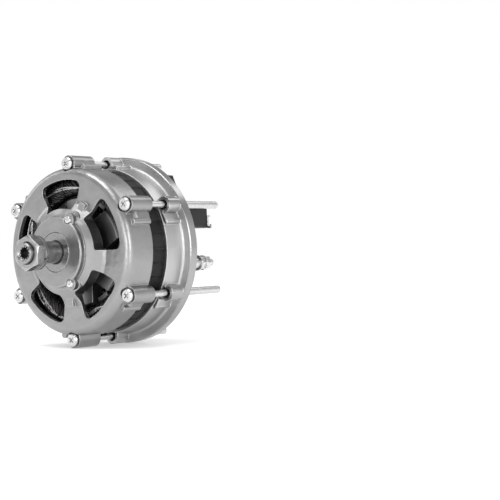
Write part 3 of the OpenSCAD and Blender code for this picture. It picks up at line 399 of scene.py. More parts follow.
# %% [markdown]
# Handling wears edges bright, and no edge is quite sharp. A real bevel on every part would cost
# many faces. The Bevel node gives only the normal that a rounded edge would have: where it
# departs from the true normal there is an edge. So it gives the highlight, and a mask for edges
# brightened in colour, partly as wear and partly as a painted highlight.

# %% Group for edges
EDGE_ROUND = 0.0008
EDGE_SAMPLES = 4
MASK_GAIN = 6.0


def edge_group():
    """The mask is one minus the dot product of the true normal and the rounded one, times a gain.

    It is one at most.
    """
    group, inside, out = new_group(
        "edge", [("Gain", "NodeSocketFloat", MASK_GAIN)],
        [("Edge", "NodeSocketFloat"), ("Normal", "NodeSocketVector")])
    bevel = add(group, "ShaderNodeBevel", samples=EDGE_SAMPLES, Radius=EDGE_ROUND)
    geometry = group.nodes.new("ShaderNodeNewGeometry")
    likeness = vector_node(group, "DOT_PRODUCT", bevel.outputs[0], geometry.outputs["Normal"])
    departure = math_node(group, "SUBTRACT", 1.0, likeness)
    gained = math_node(group, "MULTIPLY", departure, inside.outputs["Gain"])
    group.links.new(math_node(group, "MINIMUM", gained, 1.0), out.inputs["Edge"])
    group.links.new(bevel.outputs[0], out.inputs["Normal"])
    return group


EDGE = edge_group()
print("node group", EDGE.name, "with a radius of", EDGE_ROUND * 1000, "mm")

# %% [markdown]
# Most round parts here were turned on a lathe about the shaft's axis, which leaves fine rings.
# One group works out the distance from that axis, the depth along it and the rings, for every
# finish that needs to know where the tool went.

# %% Group for turning marks
RINGS_PITCH = 0.0004


def lathe_group():
    """The radius is the root of X squared plus Z squared, and the depth is Y.

    The rings are a half plus half the sine of a full turn times the radius over the pitch.
    """
    group, inside, out = new_group(
        "turning marks", [("Pitch", "NodeSocketFloat", RINGS_PITCH)],
        [("Radius", "NodeSocketFloat"), ("Rings", "NodeSocketFloat"),
         ("Depth", "NodeSocketFloat")])
    x, y, z = coordinates(group, "Object")
    squares = math_node(group, "MULTIPLY_ADD", z, z, math_node(group, "MULTIPLY", x, x))
    radius = math_node(group, "SQRT", squares)
    phase = math_node(group, "DIVIDE", radius, inside.outputs["Pitch"])
    wave = math_node(group, "SINE", math_node(group, "MULTIPLY", phase, 2 * math.pi))
    group.links.new(radius, out.inputs["Radius"])
    group.links.new(math_node(group, "MULTIPLY_ADD", wave, 0.5, 0.5), out.inputs["Rings"])
    group.links.new(y, out.inputs["Depth"])
    return group


LATHE = lathe_group()
print("node group", LATHE.name)

# %% [markdown]
# One function makes every finish, because they differ in numbers and not in kind. Two mottled
# shades give the colour, edges are brighter in colour by wear and painted highlight, and the same
# two noises vary the roughness and raise a small bump. A finish that needs more hands in a
# function that changes these sockets.

# %% A material with grain, mottling and bright edges
# Gain of the edge colour: partly wear, partly a painted highlight.
WORN_AND_HIGHLIT_GAIN = 2.2
ROUGHNESS_SPREAD = 0.16
BUMP_HEIGHT = 0.0003


def uneven(tree, factor, colour, share):
    """From the colour times one minus the share to the colour times one plus the share."""
    return mixed(tree, factor, scaled(colour, 1 - share), scaled(colour, 1 + share))


def finish_of(name, colour, metallic, rough, grain=(900, 0.10), mottle=(40, 0.10), edge=0.35,
              bump=0.08, wave=0.0, specular=0.5, extra=None):
    """Grain and mottle are each a scale and a share of the colour.

    The colour is the mean of both, mixed with WORN_AND_HIGHLIT_GAIN times the colour by the edge mask times
    `edge`. Roughness is `rough` with a spread that follows the mottling, and the bump's height
    is the grain plus `wave` times the mottling.
    """
    material = bpy.data.materials.new(name)
    tree = tree_of(material)
    surface = use_group(tree, GRAIN, Grain_Scale=grain[0], Mottle_Scale=mottle[0])
    rim = use_group(tree, EDGE)
    shade = uneven(tree, surface.outputs["Mottle"], colour, mottle[1])
    speck = uneven(tree, surface.outputs["Grain"], colour, grain[1])
    # The edge mask brightens the colour: partly wear, partly a painted highlight.
    worn_and_highlit = math_node(tree, "MULTIPLY", rim.outputs["Edge"], edge)
    sockets = {
        "colour": mixed(tree, worn_and_highlit, mixed(tree, 0.5, shade, speck), scaled(colour, WORN_AND_HIGHLIT_GAIN)),
        "rough": math_node(tree, "MULTIPLY_ADD", surface.outputs["Mottle"], ROUGHNESS_SPREAD,
                           rough - ROUGHNESS_SPREAD / 2),
        "height": math_node(tree, "MULTIPLY_ADD", surface.outputs["Mottle"], wave,
                            surface.outputs["Grain"]),
        "normal": rim.outputs["Normal"],
    }
    if extra:
        sockets = extra(tree, sockets)
    shader = tree.nodes.new("ShaderNodeBsdfPrincipled")
    tree.links.new(sockets["colour"], shader.inputs["Base Color"])
    tree.links.new(sockets["rough"], shader.inputs["Roughness"])
    shader.inputs["Metallic"].default_value = metallic
    shader.inputs["Specular IOR Level"].default_value = specular
    bumped = add(tree, "ShaderNodeBump", Strength=bump, Distance=BUMP_HEIGHT)
    tree.links.new(sockets["height"], bumped.inputs["Height"])
    tree.links.new(sockets["normal"], bumped.inputs["Normal"])
    tree.links.new(bumped.outputs[0], shader.inputs["Normal"])
    out = tree.nodes.new("ShaderNodeOutputMaterial")
    tree.links.new(shader.outputs[0], out.inputs[0])
    return material


print("worn edges are", WORN_AND_HIGHLIT_GAIN, "times as bright as the faces")

# %% [markdown]
# The rear case was turned on a lathe where it meets the engine. The grooves on its ring are too
# fine to see one by one, but they fan out the reflections, which makes bright and dark sectors.
# A Bump node would smooth them away at this distance, so this group tilts the normal itself.

# %% Group for fine grooves
GROOVE_TILT = 0.42
GROOVE_PITCH = 0.00037


def groove_group():
    """The true normal plus the way off the Y axis, times a sine of the radius, times a mask."""
    group, inside, out = new_group(
        "grooves", [("Mask", "NodeSocketFloat", 1.0)], [("Normal", "NodeSocketVector")])
    lathe = use_group(group, LATHE, Pitch=GROOVE_PITCH)
    coords = group.nodes.new("ShaderNodeTexCoord")
    flat = vector_node(group, "MULTIPLY", coords.outputs["Object"], (1, 0, 1))
    off_axis = vector_node(group, "NORMALIZE", flat)
    wave = math_node(group, "MULTIPLY_ADD", lathe.outputs["Rings"], 2 * GROOVE_TILT, -GROOVE_TILT)
    masked = math_node(group, "MULTIPLY", wave, inside.outputs["Mask"])
    tilt = vector_node(group, "SCALE", off_axis, scale=masked)
    geometry = group.nodes.new("ShaderNodeNewGeometry")
    tilted = vector_node(group, "ADD", geometry.outputs["Normal"], tilt)
    group.links.new(vector_node(group, "NORMALIZE", tilted), out.inputs["Normal"])
    return group


GROOVES = groove_group()
print("grooves every", GROOVE_PITCH * 1000, "mm")

# %% [markdown]
# The ring and the rim of the rear case are turned, and the rest keeps the cast surface. The two
# could be separate parts, but they are one casting, and the border is a tool's path and so a true
# circle. So a mask of the radius and the depth separates them.

# %% Turned zones
RING_INNER = 0.0620
RING_DEPTH = -0.0003
RIM_RADIUS = 0.0742
# Painted shade: the turned rim gets a darker grey than the turned ring, for the dark band in its
# reflection.
SHADED_RIM_COLOUR = grey(0.36)
RING_COLOUR = grey(0.68)
TURNED_ROUGHNESS = 0.20


def turned_ring(tree, sockets):
    """Turned where the radius passes RING_INNER behind RING_DEPTH, or passes RIM_RADIUS."""
    lathe = use_group(tree, LATHE)
    outside = math_node(tree, "GREATER_THAN", lathe.outputs["Radius"], RING_INNER)
    behind = math_node(tree, "GREATER_THAN", lathe.outputs["Depth"], RING_DEPTH)
    rim = math_node(tree, "GREATER_THAN", lathe.outputs["Radius"], RIM_RADIUS)
    face = math_node(tree, "MULTIPLY", outside, behind)
    turned = math_node(tree, "MAXIMUM", face, rim)
    cast = math_node(tree, "SUBTRACT", 1.0, turned)
    # Painted shade on the rim.
    shaded_rim_or_cast = mixed(tree, rim, sockets["colour"], SHADED_RIM_COLOUR)
    grooves = use_group(tree, GROOVES)
    tree.links.new(face, grooves.inputs["Mask"])
    return {
        "colour": mixed(tree, face, shaded_rim_or_cast, RING_COLOUR),
        "rough": math_node(tree, "MULTIPLY_ADD", sockets["rough"], cast,
                           math_node(tree, "MULTIPLY", turned, TURNED_ROUGHNESS)),
        "height": math_node(tree, "MULTIPLY", sockets["height"], cast),
        "normal": mixed(tree, face, sockets["normal"], grooves.outputs["Normal"], "VECTOR"),
    }


FACED_PITCH = 0.0006
FACED_RINGS = 0.8
FACED_GRAIN = 0.3


def turned_rings(tree, sockets):
    """The height is FACED_RINGS times the rings plus FACED_GRAIN times the grain, all over."""
    lathe = use_group(tree, LATHE, Pitch=FACED_PITCH)
    grain = math_node(tree, "MULTIPLY", sockets["height"], FACED_GRAIN)
    height = math_node(tree, "MULTIPLY_ADD", lathe.outputs["Rings"], FACED_RINGS, grain)
    return {**sockets, "height": height}


print("turned ring from", RING_INNER * 1000, "mm, rim from", RIM_RADIUS * 1000, "mm")

# %% [markdown]
# The core is a stack of punched sheets under black paint. Modelled sheets would be thousands of
# faces in a narrow strip, so a bump draws them. Each sector round the axis gets its own random
# shade: a painted reflection, standing for the core's flats, which each catch the light their own
# way.

# %% Sheets and sectors of the core
SHEET = 0.0009
SHEET_HEIGHT = 0.5
CORE_SECTORS = 36
SECTOR_REFLECTION_SHARE = 0.7
# Painted reflection: a random dark or pale grey for each sector, standing for the core's flats.
DARK_REFLECTION_SECTOR = grey(0.002)
PALE_REFLECTION_SECTOR = grey(0.026)


def laminated(tree, sockets):
    """The height has a sine of the depth over SHEET added, and sectors differ in shade.

    A sector is the whole part of the angle times CORE_SECTORS over a full turn, and its shade a
    random number that depends on the sector alone.
    """
    x, y, z = coordinates(tree, "Object")
    wave = math_node(tree, "SINE", math_node(tree, "MULTIPLY", y, 2 * math.pi / SHEET))
    angle = math_node(tree, "ARCTAN2", z, x)
    turned = math_node(tree, "MULTIPLY", angle, CORE_SECTORS / (2 * math.pi))
    random = add(tree, "ShaderNodeTexWhiteNoise", noise_dimensions="1D")
    tree.links.new(math_node(tree, "FLOOR", turned), random.inputs["W"])
    # Painted reflection: each sector's random shade stands for a flat that reflects the light its
    # own way.
    shade = mixed(tree, random.outputs["Value"], DARK_REFLECTION_SECTOR, PALE_REFLECTION_SECTOR)
    return {
        **sockets,
        "height": math_node(tree, "MULTIPLY_ADD", wave, SHEET_HEIGHT, sockets["height"]),
        "colour": mixed(tree, SECTOR_REFLECTION_SHARE, sockets["colour"], shade),
    }


print("core sheets every", SHEET * 1000, "mm, in", CORE_SECTORS, "sectors")

# %% [markdown]
# Each slot of the record gets one finish. Castings are satin grey with broad mottling, zinc and
# tin are brighter and smoother, the rotor's iron is rough, and the enamel, the moulded plastic and
# the painted core are nearly black, so that only their highlights draw their shapes.

# %% One finish for each of the record's slots
FINISHES = {
    "cast_aluminium": dict(colour=grey(0.32), metallic=1, rough=0.33, mottle=(75, 0.26),
                           bump=0.12, edge=0.8, wave=26.0),
    "turned_aluminium": dict(colour=grey(0.48), metallic=1, rough=0.36, mottle=(70, 0.14),
                             bump=0.16, edge=0.7, extra=turned_ring),
    "black_core": dict(colour=grey(0.008), metallic=0, rough=0.34, mottle=(90, 0.5), bump=0.25,
                       specular=0.22, extra=laminated),
    "enamelled_copper": dict(colour=(0.064, 0.061, 0.059), metallic=0.9, rough=0.17,
                             mottle=(70, 0.9)),
    "zinc_steel": dict(colour=grey(0.62), metallic=1, rough=0.26, mottle=(160, 0.20), bump=0.05,
                       edge=0.6),
    "bare_steel": dict(colour=grey(0.29), metallic=1, rough=0.24, bump=0.2, edge=0.6,
                       extra=turned_rings),
    "dark_steel": dict(colour=grey(0.30), metallic=1, rough=0.35),
    "pole_iron": dict(colour=grey(0.26), metallic=1, rough=0.40, mottle=(60, 0.6), bump=0.2),
    "black_rubber": dict(colour=grey(0.02), metallic=0, rough=0.6),
    "black_plastic": dict(colour=grey(0.017), metallic=0, rough=0.42, edge=0.5,
                          mottle=(90, 0.2), specular=0.3),
    "grey_plastic": dict(colour=grey(0.52), metallic=0, rough=0.5, edge=0.2),
    "white_plastic": dict(colour=grey(0.72), metallic=0, rough=0.42, edge=0.15),
    "copper": dict(colour=(0.62, 0.36, 0.22), metallic=1, rough=0.25, extra=turned_rings),
    "carbon": dict(colour=grey(0.03), metallic=0.2, rough=0.5),
    "anodised_grey": dict(colour=grey(0.24), metallic=0.85, rough=0.45, bump=0.12, edge=0.6),
    "tinned_steel": dict(colour=grey(0.52), metallic=1, rough=0.28, mottle=(150, 0.2),
                         bump=0.04, edge=0.3),
    "white_insulation": dict(colour=grey(0.78), metallic=0, rough=0.38, edge=0.05,
                             mottle=(60, 0.04)),
}
materials = {slot: finish_of(slot.replace("_", " "), **finish)
             for slot, finish in FINISHES.items()}
for entry in record["subparts"]:
    mesh = nodes[entry["node"]].data
    if not mesh.materials:
        mesh.materials.append(None)
    for index in range(len(mesh.materials)):
        mesh.materials[index] = materials[entry["material_slot"]]
print("finished", len(record["subparts"]), "CAD parts with", len(materials), "materials")

# %% [markdown]
# Two parts differ from the rest of their slot. The solid of the windings is only what shows
# between the wires laid over it below, and is darker than them: painted shade between the wires.
# The shaft's nut has been turned by spanners, so its plating is duller and its corners are
# brighter than those of the small nuts, by wear and painted highlight.

# %% Painted shade between the wires, and a worn, highlit nut
# Painted shade: the solid between the wires is nearly black.
nodes["stator_windings"].data.materials[0] = finish_of(
    "shade between wires", colour=grey(0.015), metallic=0, rough=0.45)
nodes["shaft_nut"].data.materials[0] = finish_of(
    "worn nut", colour=grey(0.38), metallic=1, rough=0.28, mottle=(160, 0.3), bump=0.05, edge=0.9)
print("windings and nut have finishes of their own")

# %% [markdown]
# The finer pieces are all bars that follow a path: wires, thread ridges, weld beads, ties. Curve
# objects with a bevel could make many of them, but an outline that changes along its way is
# easier as a grid of points. So one function carries an outline along many paths at once.

# %% Carry an outline along paths
MM = 0.001


def unit(vectors):
    """Each vector over its own length."""
    return vectors / np.linalg.norm(vectors, axis=-1, keepdims=True)


def around_axis(radius, depth, turn):
    """Radius times cosine in X, depth in Y, radius times sine in Z: a place round the shaft."""
    places = (radius * np.cos(turn), depth, radius * np.sin(turn))
    return np.stack(np.broadcast_arrays(*places), axis=-1)


def circle_outline(radius, count):
    """Points at equal angles, radius times cosine and sine."""
    turn = np.arange(count) * 2 * math.pi / count
    return radius * np.stack([np.cos(turn), np.sin(turn)], axis=-1)


def swept(paths, toward, outline):
    """Each outline point (u, v) goes to path + u * side + v * out.

    Out is the direction `toward` made square to the path, and side is the cross product of out
    and the path's direction, so an outline that runs anticlockwise gives faces that point
    outwards.
    """
    along = unit(np.gradient(paths, axis=-2))
    out = unit(toward - (toward * along).sum(axis=-1, keepdims=True) * along)
    side = np.cross(out, along)
    outline = np.asarray(outline, dtype=float)
    u, v = outline[..., 0, None], outline[..., 1, None]
    return paths[..., None, :] + u * side[..., None, :] + v * out[..., None, :]


print("the corners of a square bar lie at", circle_outline(1.0, 4).round(3).tolist())

# %% [markdown]
# A swept outline is a row of rings. To be a solid piece it needs faces between the rings and a
# lid on both ends. All bars of one piece go into one mesh, because a hundred objects for a
# hundred wires would be slow, and the faces are the same for each bar but for a shift.

# %% One mesh from many closed bars
def bar_faces(steps, around):
    """The faces of one bar, whose points are numbered ring by ring, with its two ends last.

    Quads join each ring to the next one, and a fan of triangles joins each end to its middle.
    """
    i, j = np.meshgrid(np.arange(steps - 1), np.arange(around), indexing="ij")
    k = (j + 1) % around
    quads = np.stack([i * around + j, i * around + k, (i + 1) * around + k,
                      (i + 1) * around + j], axis=-1)
    a = np.arange(around)
    b = (a + 1) % around
    last = (steps - 1) * around
    first_end, last_end = steps * around, steps * around + 1
    fans = np.concatenate([np.stack([np.full(around, first_end), b, a], axis=-1),
                           np.stack([np.full(around, last_end), last + a, last + b], axis=-1)])
    return quads.reshape(-1, 4), fans


def bars(name, rings, body, slot, finish=None, smooth=True):
    """A piece made of closed bars: rings has the shape (bars, rings, points, 3), in mm.

    Each end's middle is the mean of its ring.
    """
    count, steps, around, _ = rings.shape
    ends = rings[:, [0, -1]].mean(axis=2)
    points = np.concatenate([rings.reshape(count, -1, 3), ends], axis=1)
    quads, fans = bar_faces(steps, around)
    shift = (np.arange(count) * points.shape[1])[:, None, None]
    faces = (quads + shift).reshape(-1, 4).tolist() + (fans + shift).reshape(-1, 3).tolist()
    mesh = bpy.data.meshes.new(name)
    mesh.from_pydata((points.reshape(-1, 3) * MM).tolist(), [], faces)
    mesh.polygons.foreach_set("use_smooth", np.full(len(faces), smooth))
    mesh.update()
    mesh.materials.append(finish or materials[slot])
    piece = bpy.data.objects.new(name, mesh)
    bpy.context.scene.collection.objects.link(piece)
    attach(piece, body)
    print(name, count, "bars,", len(faces), "faces")
    return piece


print("a bar of 3 rings of 6 points has", sum(len(part) for part in bar_faces(3, 6)), "faces")

# %% [markdown]
# The through bolts end as threaded studs, and the battery stud and the shaft's end have threads
# too. A thread is a ridge that climbs one pitch a turn, so a small triangle is carried along a
# helix. It sits on the plain rod that the model has, and stands 0.06 mm proud. Its ends fade out
# over half a turn, as where a die runs out.

# %% Thread ridges
THREAD_STEPS = 16
THREAD_PROUD = 0.06
RIDGE_HALF = 0.4
RIDGE_FOOT = -0.1
RIDGE_SUNK = -0.08
LEAST_FADE = 0.05
LUG_RADIUS = 68.5
LUG_ANGLES = np.radians(30 + 60 * np.arange(6))
LUGS = [(LUG_RADIUS * math.cos(a), LUG_RADIUS * math.sin(a)) for a in LUG_ANGLES]
BATTERY = (48.5, -12.3)
SHAFT = (0, 0)
# Painted shade: the ridges are a darker grey than the zinc of the rods, for the shade in the
# thread's grooves.
SHADED_ROLLED = finish_of("shaded rolled threads", colour=grey(0.40), metallic=1, rough=0.30, bump=0.02,
                   edge=0.0)


def thread(centres, low, high, radius, pitch):
    """A helix about the Y axis: the angle is a full turn times the depth over the pitch.

    The ridge's top rises from RIDGE_SUNK to THREAD_PROUD with the fade, which is the number of
    steps from the nearer end over half a turn's, from LEAST_FADE to one.
    """
    count = int((high - low) / pitch * THREAD_STEPS) + 1
    depth = np.linspace(low, high, count)
    turn = 2 * math.pi * (depth - low) / pitch
    from_end = np.minimum(np.arange(count), np.arange(count)[::-1])
    fade = np.clip(from_end / (THREAD_STEPS / 2), LEAST_FADE, 1)
    triangle = np.array([(-RIDGE_HALF * pitch, RIDGE_FOOT), (RIDGE_HALF * pitch, RIDGE_FOOT),
                         (0, THREAD_PROUD)])
    outline = np.repeat(triangle[None], count, axis=0)
    outline[:, 2, 1] = RIDGE_SUNK + (THREAD_PROUD - RIDGE_SUNK) * fade
    rings = swept(around_axis(radius, depth, turn), around_axis(1.0, 0.0, turn), outline)
    offsets = np.array([(x, 0, z) for x, z in centres])
    return rings[None] + offsets[:, None, None, :]


bars("stud_threads", thread(LUGS, low=0.6, high=42.4, radius=3.0, pitch=1.0), "body",
     "zinc_steel", SHADED_ROLLED)
bars("battery_thread", thread([BATTERY], low=42.9, high=48.0, radius=3.0, pitch=1.0), "body",
     "zinc_steel", SHADED_ROLLED)
bars("shaft_thread", thread([SHAFT], low=-111.9, high=-110.3, radius=8.0, pitch=1.5), "rotor",
     "bare_steel")

# %% [markdown]
# Behind the windows lie the ends of the stator's coils: bundles of black enamelled wire that leave
# one slot, cross the end face on a slant and dive into another. The model has them as one solid
# ring with rounded corners. The wires follow its section, so that comes first, as a line with
# points at even lengths.

# %% Section of the coil ends
END_INNER = 46.2
END_OUTER = 58.0
END_TOP = 11.5
END_ROUND = 3.5
END_FOOT = -0.3
CORNER_POINTS = 7


def bundle_section(count):
    """Up the outer wall, round a quarter circle, over the top, round another, and down inside."""
    quarter = np.linspace(0, math.pi / 2, CORNER_POINTS)
    outer = np.stack([END_OUTER - END_ROUND + END_ROUND * np.cos(quarter),
                      END_TOP - END_ROUND + END_ROUND * np.sin(quarter)], axis=-1)
    inner = np.stack([END_INNER + END_ROUND - END_ROUND * np.sin(quarter),
                      END_TOP - END_ROUND + END_ROUND * np.cos(quarter)], axis=-1)
    corners = np.concatenate([[(END_OUTER, END_FOOT)], outer, inner, [(END_INNER, END_FOOT)]])
    steps = np.linalg.norm(np.diff(corners, axis=0), axis=1)
    length = np.concatenate([[0], np.cumsum(steps)])
    even = np.linspace(0, length[-1], count)
    return np.stack([np.interp(even, length, corners[:, 0]),
                     np.interp(even, length, corners[:, 1])], axis=-1)


def section_normal(section):
    """Away from the ring: the section's direction, turned by a quarter."""
    return unit(np.stack([np.gradient(section[:, 1]), -np.gradient(section[:, 0])], axis=-1))


print("coil ends", END_OUTER - END_INNER, "mm wide and", END_TOP, "mm high")

# %% [markdown]
# Wires are laid over the solid ring, each on its section while it moves round the axis. A winding
# of whole coils would be truer, but only its outer layer is ever seen. The wires are thin bars of
# 6 sides, and a seeded random lift and wander keeps the bundles from looking machined.

# %% Wires over both coil ends
WIRE_RINGS = 20
WIRE_RADIUS = 0.62
WIRE_SIDES = 6
BUNDLES = 36
WIRES_EACH = 3
CROSSING = math.radians(26)
WANDER = 1.6
WANDER_PACE = 4
ANY_PHASE = 6
BUNDLE_LIFT = (-0.3, 0.5)
WIRE_LIFT = (-0.25, 0.25)
CORE_FRONT, CORE_REAR = -46.5, -20.0
FRONT_SEED, REAR_SEED = 5, 6


def coil_end(name, base, sense, lift, seed):
    """Wires at even angles. Each turns by CROSSING along its way, slow at first and last.

    That slow way is three times the share squared less twice its cube. A wire wanders sideways
    by a sine of the share, and its lift off the ring fades at both ends with the root of a sine.
    """
    draw = np.random.default_rng(seed)
    section = bundle_section(WIRE_RINGS)
    total = BUNDLES * WIRES_EACH
    share = np.linspace(0, 1, WIRE_RINGS)
    slow = share * share * (3 - 2 * share)
    wander = draw.uniform(-WANDER, WANDER, (total, 1)) \
        * np.sin(WANDER_PACE * share + draw.uniform(0, ANY_PHASE, (total, 1)))
    turn = 2 * math.pi * np.arange(total)[:, None] / total + sense * CROSSING * slow \
        + np.radians(wander)
    bundle_lift = np.repeat(draw.uniform(*BUNDLE_LIFT, BUNDLES), WIRES_EACH)[:, None]
    raised = lift + bundle_lift + draw.uniform(*WIRE_LIFT, (total, 1))
    raised = raised * np.sin(math.pi * share) ** 0.5
    normal = section_normal(section)
    radius = section[:, 0] + raised * normal[:, 0]
    height = section[:, 1] + raised * normal[:, 1]
    paths = around_axis(radius, base + sense * height, turn)
    toward = around_axis(normal[:, 0], sense * normal[:, 1], turn)
    rings = swept(paths, toward, circle_outline(WIRE_RADIUS, WIRE_SIDES))
    return bars(name, rings, "body", "enamelled_copper")


coil_end("coil_end_front", CORE_FRONT, -1, 0.30, FRONT_SEED)
coil_end("coil_end_rear", CORE_REAR, 1, 0.0, REAR_SEED)

# %% [markdown]
# On top of the front coil ends run the leads that join the phases. They follow the ring for about
# a fifth of a turn and swing in and out on their way. They are light grey, a painted highlight,
# so they are the bright streaks in the windows.

# %% Phase joints
JOINTS = 16
JOINT_SEED = 9
JOINT_RADIUS = 0.6
JOINT_RINGS, JOINT_SIDES = 40, 8
JOINT_OUT = np.array([0.0, -1.0, 0.0])
JOINT_ARC = (0.9, 1.5)
JOINT_SWING = (1.5, 3.2)
JOINT_PACE = (4, 7)
JOINT_ABOVE = 1.0
JOINT_STAGGER = 0.5
JOINT_DIP = 2.6
# Painted highlight: light grey wires stand for gleams on the black enamel.
HIGHLIT_STRAND = finish_of("highlit strands", colour=grey(0.62), metallic=0.9, rough=0.28,
                   mottle=(90, 0.7))


def phase_joints():
    """Arcs at the ring's middle, whose radius swings by a sine and whose ends dip into the wires.

    The dip is the eighth power of the way from the arc's middle, so it comes at the very ends.
    """
    draw = np.random.default_rng(JOINT_SEED)
    share = np.linspace(0, 1, JOINT_RINGS)
    start = 2 * math.pi * np.arange(JOINTS)[:, None] / JOINTS
    turn = start + draw.uniform(*JOINT_ARC, (JOINTS, 1)) * share
    swing = draw.uniform(*JOINT_SWING, (JOINTS, 1)) \
        * np.sin(draw.uniform(*JOINT_PACE, (JOINTS, 1)) * share + start * 3)
    radius = (END_INNER + END_OUTER) / 2 + swing
    height = END_TOP + JOINT_ABOVE + JOINT_STAGGER * np.sin(3 * start) \
        - JOINT_DIP * (2 * share - 1) ** 8
    paths = around_axis(radius, CORE_FRONT - height, turn)
    rings = swept(paths, JOINT_OUT, circle_outline(JOINT_RADIUS, JOINT_SIDES))
    bars("phase_joints", rings, "body", "enamelled_copper", HIGHLIT_STRAND)


phase_joints()

# %% [markdown]
# Cord ties hold wires and leads down, as on a real winding before it is dipped in varnish. Each is
# one flat loop round the ring's section, a little outside the wires, so the same section serves.

# %% Cord ties
TIES = 15
TIE_RINGS, TIE_SIDES = 26, 8
TIE_ABOVE = 1.1
TIE_START = 0.3
TIE_SLANT = 0.05
TIE_HALF_WIDTH, TIE_HALF_HEIGHT = 0.9, 0.35


def cord_ties():
    """The ring's section, TIE_ABOVE outside it, at even angles with a slight slant."""
    section = bundle_section(TIE_RINGS)
    normal = section_normal(section)
    turn = 2 * math.pi * (np.arange(TIES)[:, None] + TIE_START) / TIES \
        + TIE_SLANT * np.linspace(-1, 1, TIE_RINGS)
    raised = section + TIE_ABOVE * normal
    paths = around_axis(raised[:, 0], CORE_FRONT - raised[:, 1], turn)
    toward = around_axis(normal[:, 0], -normal[:, 1], turn)
    flat = circle_outline(1.0, TIE_SIDES) * np.array([TIE_HALF_WIDTH, TIE_HALF_HEIGHT])
    bars("cord_ties", swept(paths, toward, flat), "body", "black_core")


cord_ties()

# %% [markdown]
# Each lug of the castings runs out into a low pad that ends at the rib beside it. The model has
# the lug and the rib, and this fills the valley between them: a slanted outline is carried along
# the shaft's direction, and gets lower at its two ends, as a foundry's draft makes it.

# %% Pads beside the lugs
PAD_TURN = math.radians(-8.5)
PAD_BASE = 65.0
FRONT_PAD_FROM, FRONT_PAD_TO = -57.5, -41.6
REAR_PAD_FROM, REAR_PAD_TO = -6.0, -24.6
PAD_OUTLINE = np.array([(-4.2, -1.0), (4.6, -1.0), (4.6, 3.6), (3.4, 3.6), (-2.6, 3.1),
                        (-3.6, 2.5), (-4.2, 1.4)])
PAD_SHARE = np.array([0.0, 0.08, 0.16, 0.26, 0.97, 1.0])
PAD_HEIGHT = np.array([0.03, 0.60, 0.90, 1.0, 1.0, 0.85])


def lug_pads(name, start, end, slot):
    """The outline goes from start to end along Y at each lug's angle.

    What stands above PAD_BASE is multiplied by PAD_HEIGHT, and what lies below it stays.
    """
    turn = (LUG_ANGLES + PAD_TURN)[:, None]
    paths = around_axis(PAD_BASE, start + (end - start) * PAD_SHARE, turn)
    outline = np.repeat(PAD_OUTLINE[None], len(PAD_SHARE), axis=0)
    rise = outline[..., 1]
    outline[..., 1] = np.where(rise > 0, rise * PAD_HEIGHT[:, None], rise)
    rings = swept(paths, around_axis(1.0, 0.0, turn), outline)
    return bars(name, rings, "body", slot, smooth=False)


lug_pads("front_lug_pads", FRONT_PAD_FROM, FRONT_PAD_TO, "cast_aluminium")
lug_pads("rear_lug_pads", REAR_PAD_FROM, REAR_PAD_TO, "turned_aluminium")

# %% [markdown]
# The rectifier block has two deep recesses between its terminals. The stator's black leads loop up
# in them on their way to the solder joints, so each recess holds a knot of glossy arches. An arch
# is half a turn of a cosine sideways and the root of a sine upwards, and a seed gives each its
# place, lean and height.

# %% Loops of the stator's leads
LOOPS = 14
LOOP_SEED = 11
LOOP_WIRE = 0.8
LOOP_HALF = 2.6
LOOP_FOOT = 2.0
LOOP_LEAN = (-0.6, 0.6)
LOOP_HEIGHT = (20, 27)
LOOP_BESIDE = (-0.9, 0.9)
LOOP_ABOVE = (-1.7, 1.7)
LOOP_RINGS, LOOP_SIDES = 22, 10
LOOP_OUT = np.array([0.1, 0.0, 1.0])
RECESSES = [(-6.4, 41.4), (9.6, 41.4)]


def lead_loops():
    """Arches: a cosine across, and the square root of a sine along Y, LOOP_HEIGHT mm high."""
    draw = np.random.default_rng(LOOP_SEED)
    share = np.linspace(0, 1, LOOP_RINGS)
    across = LOOP_HALF * np.cos(math.pi * share)
    rise = np.sqrt(np.sin(math.pi * share))
    paths = []
    for x, z in RECESSES:
        lean, height = (draw.uniform(*span, (LOOPS, 1)) for span in (LOOP_LEAN, LOOP_HEIGHT))
        beside, above = (draw.uniform(*span, (LOOPS, 1)) for span in (LOOP_BESIDE, LOOP_ABOVE))
        paths.append(np.stack([x + beside + across * np.cos(lean), LOOP_FOOT + height * rise,
                               z + above + across * np.sin(lean)], axis=-1))
    rings = swept(np.concatenate(paths), LOOP_OUT, circle_outline(LOOP_WIRE, LOOP_SIDES))
    bars("lead_loops", rings, "body", "enamelled_copper")


lead_loops()

# %% [markdown]
# Weld beads along its outside hold the core's sheets together, and it has a thin rib behind each
# slot. Between the two cases a strip of it shows, so each bead is a flat half-round bar with
# small ripples, and each rib a plain one.

# %% Weld beads and ribs on the core
SLOTS = 36
BEAD_EVERY = 6
SLOT_ANGLES = np.radians(360 / SLOTS * np.arange(SLOTS))
WELDED = np.arange(SLOTS) % BEAD_EVERY == 0
BEAD_FROM, BEAD_TO = -41.2, -25.3
BEAD_RIPPLE = 1.2
BEAD_SIDES = 12
RIPPLED_RINGS, PLAIN_RINGS = 60, 2
CORE_RADIUS = 62.9


def core_bars(name, angles, width, height, ripple):
    """Bars along Y whose outline is a flat ellipse, swelled by a sine of the depth.

    The sine has one wave in BEAD_RIPPLE, and the ripple is its share of the outline.
    """
    depth = np.linspace(BEAD_FROM, BEAD_TO, RIPPLED_RINGS if ripple else PLAIN_RINGS)
    swell = 1 + ripple * np.sin(2 * math.pi * depth / BEAD_RIPPLE)
    ellipse = circle_outline(1.0, BEAD_SIDES) * np.array([width, height])
    turn = angles[:, None]
    rings = swept(around_axis(CORE_RADIUS, depth, turn), around_axis(1.0, 0.0, turn),
                  ellipse * swell[:, None, None])
    return bars(name, rings, "body", "black_core")


